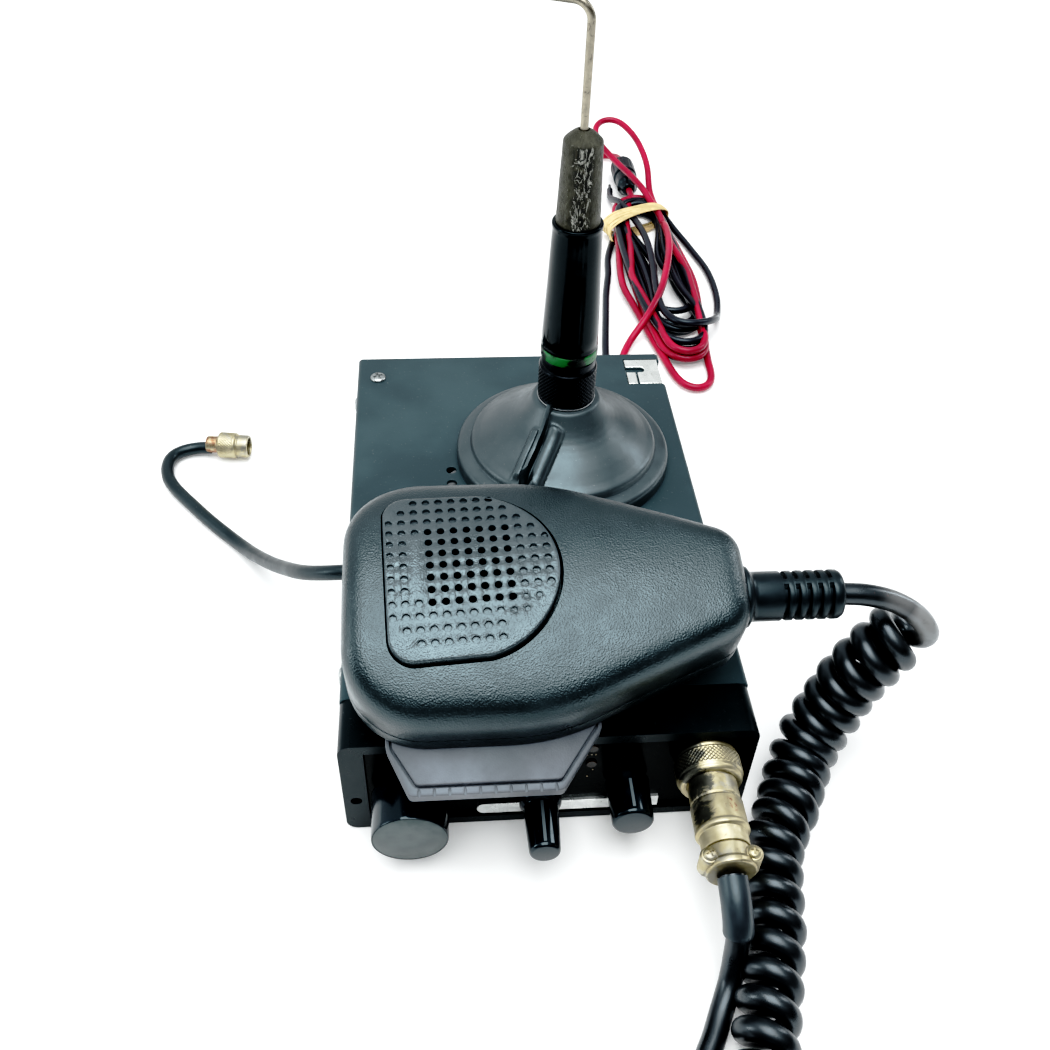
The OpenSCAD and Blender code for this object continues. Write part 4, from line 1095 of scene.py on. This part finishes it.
def pad_height(x, w):
    rough = damage(x, w)
    lump = noise.noise(Vector((x * 1.5, w * 1.5, 3.0))) * 0.5 * rough
    lump += noise.noise(Vector((x * 0.7, w * 0.7, 8.0))) * 0.3 * rough
    return crown(w) + 0.9 + 0.55 * clamp((x + 21 - w + 4.5) / 40) + lump - 0.1 * rough


def grille_pad():
    holes = grille_holes()
    rim = grille_outline(-0.75)
    points = [Vector((p.x, p.y)) for p in rim]
    edges = [(i, (i + 1) % len(rim)) for i in range(len(rim))]
    discs = []
    for x, w, through, hurt in holes:
        r = HOLE_R if through else HOLE_R - 0.35 * hurt
        base = len(points)
        for k in range(HOLE_SIDES):
            a = TAU * k / HOLE_SIDES
            points.append(Vector((x + r * math.cos(a), w + r * math.sin(a))))
            edges.append((base + k, base + (k + 1) % HOLE_SIDES))
        discs.append((x, w, r, base, through, hurt))
    inner = grille_outline(-1.6)
    for gx in range(-46, 5, 1):
        for gw in range(-24, 33, 1):
            x, w = gx + 0.31, gw + 0.17
            dense = damage(x, w) > 0.05 or (gx % 4 == 0 and gw % 4 == 0)
            if dense and inside(inner, x, w) and all(math.hypot(x - h[0], w - h[1]) > 1.5 for h in holes):
                points.append(Vector((x, w)))
    verts, _, faces, *_ = delaunay_2d_cdt(points, edges, [], 0, 1e-5)
    keep = []
    for face in faces:
        cx = sum(verts[i].x for i in face) / 3
        cw = sum(verts[i].y for i in face) / 3
        if all(math.hypot(cx - d[0], cw - d[1]) > d[2] * 0.97 for d in discs):
            keep.append(tuple(face))
    top = [Vector((v.x, v.y, pad_height(v.x, v.y))) for v in verts], keep
    parts = [top]
    side = []
    for grow, drop in ((-0.75, 0), (-0.4, 0.05), (-0.15, 0.22), (0, 0.6), (0.1, 3.6)):
        side.append([Vector((p.x, p.y, pad_height(p.x, p.y) - drop)) for p in grille_outline(grow)])
    parts.append(rings_mesh(side, cap_start=False, cap_end=False))
    for x, w, r, _, through, hurt in discs:
        ring = []
        for shrink, drop in ((0, 0), (0.07, 0.05), (0.12, 0.15),
                             (0.14, 2.4 if through else 0.85 - 0.45 * hurt)):
            loop = []
            for k in range(HOLE_SIDES):
                c, s = math.cos(TAU * k / HOLE_SIDES), math.sin(TAU * k / HOLE_SIDES)
                z = pad_height(x + r * c, w + r * s) - drop
                loop.append(Vector((x + (r - shrink) * c, w + (r - shrink) * s, z)))
            ring.append(loop)
        parts.append(rings_mesh(ring, cap_start=False, cap_end=True))
    return joined(*parts)


def inside(ring, x, y):
    hit = False
    for a, b in zip(ring, ring[1:] + ring[:1]):
        if (a.y > y) != (b.y > y) and x < (b.x - a.x) * (y - a.y) / (b.y - a.y) + a.x:
            hit = not hit
    return hit


add("mic_grille_pad", moved(grille_pad(), MIC), M_PAD, "microphone", "grille_plastic", ["grille_plate"],
    crease=38)
# painted shade: a near-black disc set 1.2 mm down in each through hole stands for the shade inside it
wells = []
for x, w, through, _ in grille_holes():
    if through:
        z = crown(w) - 1.2
        turns = [TAU * k / 12 for k in range(12)]
        disc = [Vector((x + 0.97 * math.cos(a), w + 0.97 * math.sin(a), z)) for a in turns]
        wells.append((disc, [tuple(range(12))]))
add("mic_grille_hole_shade", moved(joined(*wells), MIC), M_HOLE_SHADE, "microphone", crease=30)


def back_rings():
    rings = []
    for i in range(9):
        a = math.radians(90 - 90 * i / 8)
        rings.append(mic_ring(BACK_R * (1 - math.cos(a)), BACK_R * (1 - math.sin(a))))
    return rings + [mic_ring(0, PART_T - 0.8), mic_ring(0.08, PART_T - 0.35), mic_ring(0.5, PART_T)]


back = add("mic_back_shell_skin", moved(rings_mesh(back_rings()), MIC), M_MIC, "microphone", "mic_plastic",
           ["mic_back_shell"], crease=40)
screw_wells = [moved(plug_shape(2.8, -1, 1.4), at(x, w, 0))
               for x, w in ((-44, 22), (-44, -14), (34, 0))]
cut(back, [moved(s, MIC) for s in [box_shape((-47.5, 16.5), (-48, -23.4), (-1, 6.8)), *screw_wells]])


def inset(poly, d):
    """A convex polygon moved in by d, given anticlockwise."""
    n = len(poly)
    lines = []
    for i in range(n):
        a, b = Vector(poly[i]), Vector(poly[(i + 1) % n])
        t = (b - a).normalized()
        lines.append((a + Vector((-t.y, t.x)) * d, t))
    out = []
    for i in range(n):
        (p, t), (q, u) = lines[i - 1], lines[i]
        den = t.x * u.y - t.y * u.x
        k = ((q.x - p.x) * u.y - (q.y - p.y) * u.x) / den if abs(den) > 1e-6 else 0
        out.append(tuple(p + t * k) if abs(den) > 1e-6 else tuple(q))
    return out


def rounded(poly, r, n=4):
    out = []
    for i, b in enumerate(poly):
        a, b, c = Vector(poly[i - 1]), Vector(b), Vector(poly[(i + 1) % len(poly)])
        u, v = (a - b), (c - b)
        q = min(r, u.length * 0.4, v.length * 0.4)
        s, e = b + u.normalized() * q, b + v.normalized() * q
        out += [tuple(s * (1 - t) ** 2 + b * 2 * t * (1 - t) + e * t * t)
                for t in (k / n for k in range(n + 1))]
    return out


def slab(poly, levels):
    """A plate whose outline is inset by each level's first number at its height."""
    return rings_mesh([[Vector((x, y, z)) for x, y in inset(poly, d)] for d, z in levels])


LEVER = [(-38.8, -49.5), (1.8, -49.5), (13.4, -33), (13.4, -24.4), (-45, -29.4), (-45, -36)]
PAD = [(-36.9, -46.9), (1.3, -46.9), (11.6, -32.4), (11.6, -26), (-43.2, -30.8), (-43.2, -36.3)]
lever = add("talk_lever_body", moved(slab(rounded(LEVER, 1.2),
                                          [(0.5, 0.3), (0.0, 0.8), (0.0, 4.7), (0.25, 5.1), (0.7, 5.25)]),
                                     MIC),
            M_LEVER, "ptt", "lever_plastic", ["ptt_lever"], crease=40)
cut(lever, [moved(slab(rounded(PAD, 1.0), [(-0.75, 3.6), (-0.75, 8)]), MIC)])
add("talk_lever_pad", moved(slab(rounded(PAD, 1.0), [(0.1, 3.5), (0.0, 5.7), (0.15, 6.05), (0.55, 6.25)]),
                            MIC), M_LEVER, "ptt",
    "lever_plastic", crease=40)
notches = []
for i in range(10):
    x = -36.2 + 4 * i
    ring = [Vector((x + 0.42 * math.cos(TAU * k / 14), -48.7 + 1.25 * math.sin(TAU * k / 14), 0))
            for k in range(14)]
    notches.append(moved(prism(ring, 4.3, 6.5), MIC))
cut(lever, notches)


def relief_profile():
    """Collar, sleeve and ribs of the cord's strain relief, as (radius, distance along)."""
    out = [(3.3, -3), (5, -3), (5, 0.1), (8.3, 0.1), (8.8, 0.7), (8.9, 1.4), (8.6, 2.1), (7.7, 2.7),
           (7.15, 3.3), (7.1, 4.2)]
    out += [(7.1, 11.2)]
    for i in range(5):
        s = 11.4 + 3.2 * i
        out += [(7.05, s), (5.7, s + 0.2), (5.6, s + 1.25), (6.8, s + 1.45), (7.05, s + 1.8),
                (7.05, s + 2.9), (7.0, s + 3.1)]
    out += [(7.0, 27.8), (6.5, 28.7), (5.4, 29.2), (3.3, 29.2)]
    return out


RELIEF = MIC @ at(END_X, 0, 15, 90, "Y")


def rib_break(r, h, a):
    """Bridges across the grooves, so they are slots and not whole rings."""
    if 11.5 < h < 27.5 and r < 6.95:
        bridge = smooth((abs(math.cos(a + 0.1)) - 0.965) / 0.03)
        return r + (7.05 - r) * bridge
    return r


add("mic_strain_relief", moved(lathe(relief_profile(), 72, warp=rib_break), RELIEF), M_RELIEF, "microphone",
    "rubber_black", ["strain_relief"], crease=42)

# ---------- radio case details ----------

CASE_X, CASE_TOP, VENT_PITCH = 58.5, 40, 6.8
CONTROL_Z, CHANNEL_X, SQUELCH_X, VOLUME_X = 18, -39.5, -2.8, 22.6


def bend_profile(x, z0, top, r, thick, n=6):
    """One leg and half the top of a folded sheet, foot to middle: its outside, then its inside."""
    centre = (x - r, top - r)
    outer = [(x, z0)] + arc(centre, r, 0, 90, n)
    inner = arc(centre, r - thick, 90, 0, n) + [(x - thick, z0)]
    return outer, inner


def folded_cover():
    """The U-shaped top cover, its ends a little rounded, before its holes are cut."""
    outer, inner = bend_profile(CASE_X, 27.1, CASE_TOP, 1.8, 1.2)
    section = [(-x, z) for x, z in outer] + outer[::-1]
    section += inner[::-1] + [(-x, z) for x, z in inner]
    rings = []
    for y, d in ((-73.6, 0.25), (-73.35, 0.0), (89.75, 0.0), (90, 0.25)):
        cx = [(x * (CASE_X - d) / CASE_X, z - d * (z > CASE_TOP - 1)) for x, z in section] if d else section
        rings.append([Vector((x, y, z)) for x, z in cx])
    return rings_mesh(rings)


cover = add("top_cover_sheet", folded_cover(), M_COVER, "radio", "cover_paint", ["top_cover"], crease=30)
vent = plug_shape(1.7, -2, 2)
holes = [moved(vent, at(-4 + VENT_PITCH * i, 2.8 + VENT_PITCH * j, 39.4))
         for i in range(-3, 4) for j in range(-3, 4)]
holes.append(moved(vent, at(-50.7, 77.3, 39.4)))
holes.append(box_shape((44, 60), (70.5, 86.5), (33, 42)))
cut(cover, holes)
edge_round(cover, 0.18, 50)

tab = add("rear_tab_plate", box_shape((44.3, 57.2), (70.8, 86.2), (38.9, 39.95)), M_NICKEL, "radio",
          "nickel", ["rear_tab"])
slots = [box_shape((43, 49.8), (78.1, 81.5), (38, 42)),
         moved(plug_shape(1.7, -1.6, 3), at(49.8, 79.8, 40)),
         box_shape((47.9, 48.6), (69, 79), (38, 42))]
for slot in slots:
    cut(tab, [slot])
edge_round(tab, 0.25, 50)
add("rear_tab_tongue", box_shape((40, 57), (65.5, 86), (37.4, 38.6)), M_NICKEL, "radio", "nickel")
add("rear_tab_shadow", box_shape((44.4, 53), (70.9, 82.5), (38.62, 38.7)), M_COVER, "radio", "cover_paint")

places = [at(-50.7, 77.3, CASE_TOP)]
places += [at(CASE_X * s, y, z, 90 * s, "Y") for s in (-1, 1) for y in (-60, 70) for z in (12, 33)]
screws("case_screws", places, 2.9, 1.25, M_SCREW, slot="screw_steel", replaces=["cover_screws"])


def knob(x, shape):
    """A shape turned about a control's axis; heights are measured forward from the middle of the case."""
    return moved(lathe(shape, 96), at(x, 0, CONTROL_Z, 90, "X"))


def knob_skin(body, x, profile, radius):
    add(body + "_knob_skin", knob(x, fillet(profile, radius)), M_KNOB, body, "knob_black", [body + "_knob"],
        crease=40)


def pointer(body, deep, long, place):
    line = box_shape((-0.45, 0.45), (0, deep), (0, long))
    add(body + "_pointer", moved(line, place), M_INK, body, "knob_black", bevel=0.1)


knob_skin("channel", CHANNEL_X, [(6, 91.1), (10.4, 91.1), (10.9, 91.6), (10.75, 104.6), (10.65, 105.3),
                                 (10.5, 105.6),
                                 (10.3, 105.4), (0.02, 105.3)], 0.35)
channel_face = [(0.02, 105.0), (10.1, 105.0), (10.25, 105.35), (10.0, 105.6), (4, 105.66), (0.02, 105.68)]
add("channel_knob_face", knob(CHANNEL_X, channel_face), M_KNOB_FACE, "channel", "knob_black", crease=50)
knob_skin("squelch", SQUELCH_X, [(3.1, 90.3), (5.6, 90.3), (6.1, 90.8), (6.0, 96.4), (5.4, 97.3),
                                 (5.05, 97.8),
                                 (4.35, 111.2), (3.9, 111.95), (0.02, 112.0)], 0.4)
pointer("squelch", 1, 12.4, at(SQUELCH_X, -98.2, 22.3, 92.6, "X"))
knob_skin("volume", VOLUME_X, [(3.1, 90.3), (6.1, 90.3), (6.4, 90.7), (6.2, 92.5), (5.95, 103.2),
                               (5.4, 103.95),
                               (0.02, 104.0)], 0.4)
pointer("volume", 0.7, 9, at(VOLUME_X, -93.2, 23.7, 90.9, "X"))


def panel_dots():
    """Small plain dots printed on the panel beside the lamps."""
    dot = lathe([(0.02, 0), (0.28, 0), (0.22, 0.08), (0.02, 0.1)], 12)
    places = ((10.6, 29.8), (11.8, 30.1), (13.0, 30.0), (12.6, 22.6), (11.2, 19.4))
    return joined(*[moved(dot, at(x, -88.8, z, 90, "X")) for x, z in places])


add("panel_dots", panel_dots(), moulded("pale_ink", (0.35, 0.3, 0.22), rough=0.5), slot="silver_trim")

# ---------- magnet-mount antenna ----------

MOUNT = at(14.5, 30, 0)
CABLE_AZ = math.radians(239)
BOOT = [(36.8, 40.02), (36.8, 43.4), (36.55, 44.6), (35.9, 45.3), (34.8, 45.75), (33.4, 46.1),
        (32.6, 46.15), (32.2, 46.2), (32.0, 46.5),
        (31.9, 47.4), (31.6, 48.3), (31.0, 48.9), (30.2, 49.3), (28.8, 50.1), (27, 51.4), (25, 52.9),
        (23, 54.2), (21, 55.4), (19, 56.7),
        (17.2, 58.1), (15.6, 59.7), (14.2, 61.4), (13.1, 63.0), (12.2, 64.4), (11.6, 65.4), (11.2, 66.0),
        (10.6, 66.25)]


def boot_rise(r, a):
    """How far the cable's two ribs stand above the boot, and how deep the slot between them is."""
    u, v = r * math.cos(a - CABLE_AZ), r * math.sin(a - CABLE_AZ)
    if u < 0:
        return 0.0
    tube = max(0.0, 1 - ((v - 3.3) / 2.9) ** 2) ** 0.5 * 3.4
    tube = tube * smooth((u - 12.5) / 2.5) * smooth((32 - u) / 0.9)
    blade = 2.9 * smooth((1.1 - abs(v + 1.2)) / 0.5) * smooth((u - 9.5) / 1.5) * smooth((30.3 - u) / 0.8)
    flank = 1.9 * smooth((2.0 - abs(v + 3.6)) / 1.2) * smooth((u - 14) / 2.5) * smooth((30.0 - u) / 1.0)
    blade = max(blade, flank)
    slot = -1.3 * smooth((0.95 - abs(v - 0.25)) / 0.5) * smooth((u - 15) / 2) * smooth((33 - u) / 1)
    hole = -3.2 * smooth((2.3 - math.hypot(v - 0.4, (u - 29.6) * 0.8)) / 0.8)
    return max(tube, blade) + slot + hole


def boot_shape():
    angles = []
    a = 0.0
    while a < TAU - 1e-6:
        angles.append(a)
        a += math.radians(0.7 if abs(a - CABLE_AZ) < math.radians(40) else 3.0)
    rings = [[polar(r, a, h + (boot_rise(r, a) if h > 46.5 else 0)) for a in angles]
             for r, h in [(33.2, 40.05)] + finely(BOOT, 0.45, 0)]
    rings.append([polar(5.2, a, 66.25) for a in angles])
    return rings_mesh(rings)


add("boot_rubber_skin", moved(boot_shape(), MOUNT), M_RUBBER, "radio", "rubber_black", ["mount_boot"],
    crease=48)

collar_profile = [(5.2, 66.4), (9.2, 66.4), (9.5, 66.7), (9.55, 67.1), (9.2, 67.35), (9.2, 67.6),
                  (9.55, 67.9), (9.6, 78.6), (9.3, 79.3),
                  (8.9, 79.6), (8.7, 79.8), (8.7, 80.1), (8.9, 80.3), (8.9, 82.8), (8.6, 83.15),
                  (5.2, 83.15)]
add("collar_knurled", moved(lathe(finely(collar_profile, 0.24), 288,
                                  warp=knurl(0.34, 44, 4.4, 67.8, 78.8, 9.2)), MOUNT), M_COLLAR,
    "antenna", "collar_black", ["antenna_collar"], crease=55)
add("collar_rim", moved(lathe([(9.25, 66.5), (9.6, 66.6), (9.64, 66.72), (9.6, 66.85), (9.25, 66.95)], 128),
                        MOUNT), M_ALLOY, "antenna",
    "collar_black", crease=50)
ring_profile = fillet([(6, 83.2), (8.9, 83.2), (9.25, 83.5), (9.3, 85.0), (9.25, 86.4), (8.95, 86.75),
                       (6, 86.75)], 0.3)
add("marker_ring_skin", moved(lathe(ring_profile, 96), MOUNT), M_RING, "antenna", "ring_green",
    ["marker_ring"], crease=50)


def tube_r(r, h, a):
    """Heat-shrink tube, a little uneven where it is tight on the coil."""
    lump = noise.noise(Vector((math.cos(a) * 0.9, math.sin(a) * 0.9, h * 0.06)))
    return r + 0.09 * lump if r > 7 else r


coil_profile = [(6, 86.8), (8.85, 86.8), (9.15, 87.1), (9.2, 87.8), (9.0, 88.6)]
coil_profile += [(9.15 - 1.6 * i / 12, 89 + 38.6 * i / 12) for i in range(13)]
coil_profile += [(7.6, 128.4), (7.75, 129.0), (7.8, 129.6), (7.65, 130.0), (7.3, 130.15), (6.75, 130.1),
                 (6.6, 129.2)]
add("loading_coil_tube", moved(lathe(coil_profile, 96, warp=tube_r), MOUNT), M_TUBE, "antenna",
    "coil_black", ["loading_coil"],
    crease=50)


def dented(r, h, a):
    """A slightly dented ferrule with flaked glue standing up from its front."""
    if r < 3:
        return r
    lump = noise.fractal(Vector((math.cos(a) * 2.6, math.sin(a) * 2.6, h * 0.38)), 1.0, 2.0, 3)
    front = smooth((math.cos(a - math.radians(262)) - 0.7) * 5) * smooth((154.4 - h) * 2)
    flake = noise.fractal(Vector((math.cos(a) * 5.5, math.sin(a) * 5.5, h * 0.42)), 1.0, 2.0, 4)
    return r + 0.05 * lump + 0.5 * max(0.0, flake - 0.05) * front


ferrule_profile = [(6.3, 129.6)]
ferrule_profile += [(6.72 - 1.02 * i / 88, 130.2 + 26.3 * i / 88) for i in range(89)]
ferrule_profile = [p for p in ferrule_profile if p[1] < 154.6]
ferrule_profile += [(5.75, 154.8), (5.6, 155.15), (5.3, 155.5), (4.4, 156.4), (3.2, 157.4), (2.2, 158.0),
                    (1.6, 158.2), (1.3, 157.6)]
add("ferrule_skin", moved(lathe(ferrule_profile, 160, warp=dented), MOUNT), M_FERRULE, "antenna",
    "worn_ferrule",
    ["antenna_ferrule"], crease=60)


WHIP_FOOT_Z, WHIP_BEND_Z, WHIP_BEND_R = 133, 187, 5


def whip_line():
    """Up from inside the ferrule and over a 5 mm bend into the short sideways leg."""
    d = polar(1, math.radians(158))
    pts = [Vector((0, 0, WHIP_FOOT_Z + (WHIP_BEND_Z - WHIP_FOOT_Z) * i / 24)) for i in range(25)]
    for degrees in range(10, 91, 10):
        a = math.radians(degrees)
        rise = Vector((0, 0, WHIP_BEND_R * math.sin(a)))
        pts.append(Vector((0, 0, WHIP_BEND_Z)) + d * WHIP_BEND_R * (1 - math.cos(a)) + rise)
    return pts + [pts[-1] + d * (19 * i / 8) for i in range(1, 9)]


rod = whip_line()
rod_r = [1.2] * (len(rod) - 2) + [1.15, 0.7]
add("whip_rod_skin", moved(sweep(rod, rod_r, 20), MOUNT), M_WHIP, "whip_rod", "whip_steel", ["whip"],
    crease=50)

# ---------- floor and light ----------


def stage_floor():
    """A pale sheet of paper, 0.4 mm below the radio so that nothing lies in its plane."""
    mesh = bpy.data.meshes.new("floor")
    mesh.from_pydata([(-6, -6, -0.0004), (6, -6, -0.0004), (6, 9, -0.0004), (-6, 9, -0.0004)], [],
                     [(0, 1, 2, 3)])
    obj = bpy.data.objects.new("floor", mesh)
    bpy.context.scene.collection.objects.link(obj)
    s = Shader("pale_floor")
    tone = s.mix(s.ramp(s.noise(400, 2), 0.3, 0.7), (0.9, 0.9, 0.9), (0.93, 0.93, 0.93))
    s.done(tone, s.ramp(s.noise(60, 3), 0.3, 0.7, 0.6, 0.7), s.bump(s.noise(0.8, 2), 0.01))
    s.bsdf.inputs["Specular IOR Level"].default_value = 0.2
    s.bsdf.inputs["Emission Color"].default_value = (1, 1, 1, 1)
    s.bsdf.inputs["Emission Strength"].default_value = 0.15
    mesh.materials.append(s.material)


def soft_light(name, place, target, size, power, colour):
    data = bpy.data.lights.new(name, "AREA")
    data.shape = "RECTANGLE"
    data.size, data.size_y = size
    data.energy = power
    data.color = colour
    obj = bpy.data.objects.new(name, data)
    bpy.context.scene.collection.objects.link(obj)
    direction = Vector(target) - Vector(place)
    obj.matrix_world = Matrix.Translation(place) @ direction.to_track_quat("-Z", "Y").to_matrix().to_4x4()


stage_floor()
soft_light("overhead", (-0.1, -0.3, 1.5), (-0.1, -0.3, 0), (1.15, 1.35), 29, (0.97, 1.0, 1.0))
soft_light("left", (-1.1, -0.1, 0.45), (0, 0, 0.05), (0.25, 0.5), 2.5, (0.95, 1.0, 1.0))
soft_light("right", (1.1, 0.45, 0.7), (0, 0, 0.05), (0.25, 0.7), 4, (0.95, 0.98, 1.0))

# the room: pale paper to the sides and behind, an open sky of diffused light, and a dark front
world = bpy.data.worlds.new("world")
bpy.context.scene.world = world
world.use_nodes = True
tree = world.node_tree
heading = add_node(tree, "TexCoord", "Generated", {})


def fade(axis, low, high, start, end):
    return ease(tree, add_node(tree, "SeparateXYZ", axis, {0: heading}), low, high, start, end)


def blend_of(operation, a, b):
    return add_node(tree, "Math", "Value", {0: a, 1: b}, operation=operation)


walls = blend_of("MULTIPLY", fade("Y", -0.7, 0.1, 0.04, 0.8), fade("X", 0.05, 0.7, 1.1, 0.3))
lit = blend_of("MAXIMUM", walls, fade("Z", 0.4, 0.85, 0.04, 0.65))
tree.links.new(lit, tree.nodes["Background"].inputs["Strength"])
tree.nodes["Background"].inputs["Color"].default_value = (0.94, 0.985, 1.0, 1)
view = bpy.context.scene.view_settings
view.view_transform = "Standard"
view.use_curve_mapping = True
tone = view.curve_mapping.curves[3]
for x, y in ((0.015, 0.001), (0.04, 0.012), (0.075, 0.052), (0.13, 0.13), (0.25, 0.265), (0.6, 0.7)):
    tone.points.new(x, y)
view.curve_mapping.update()
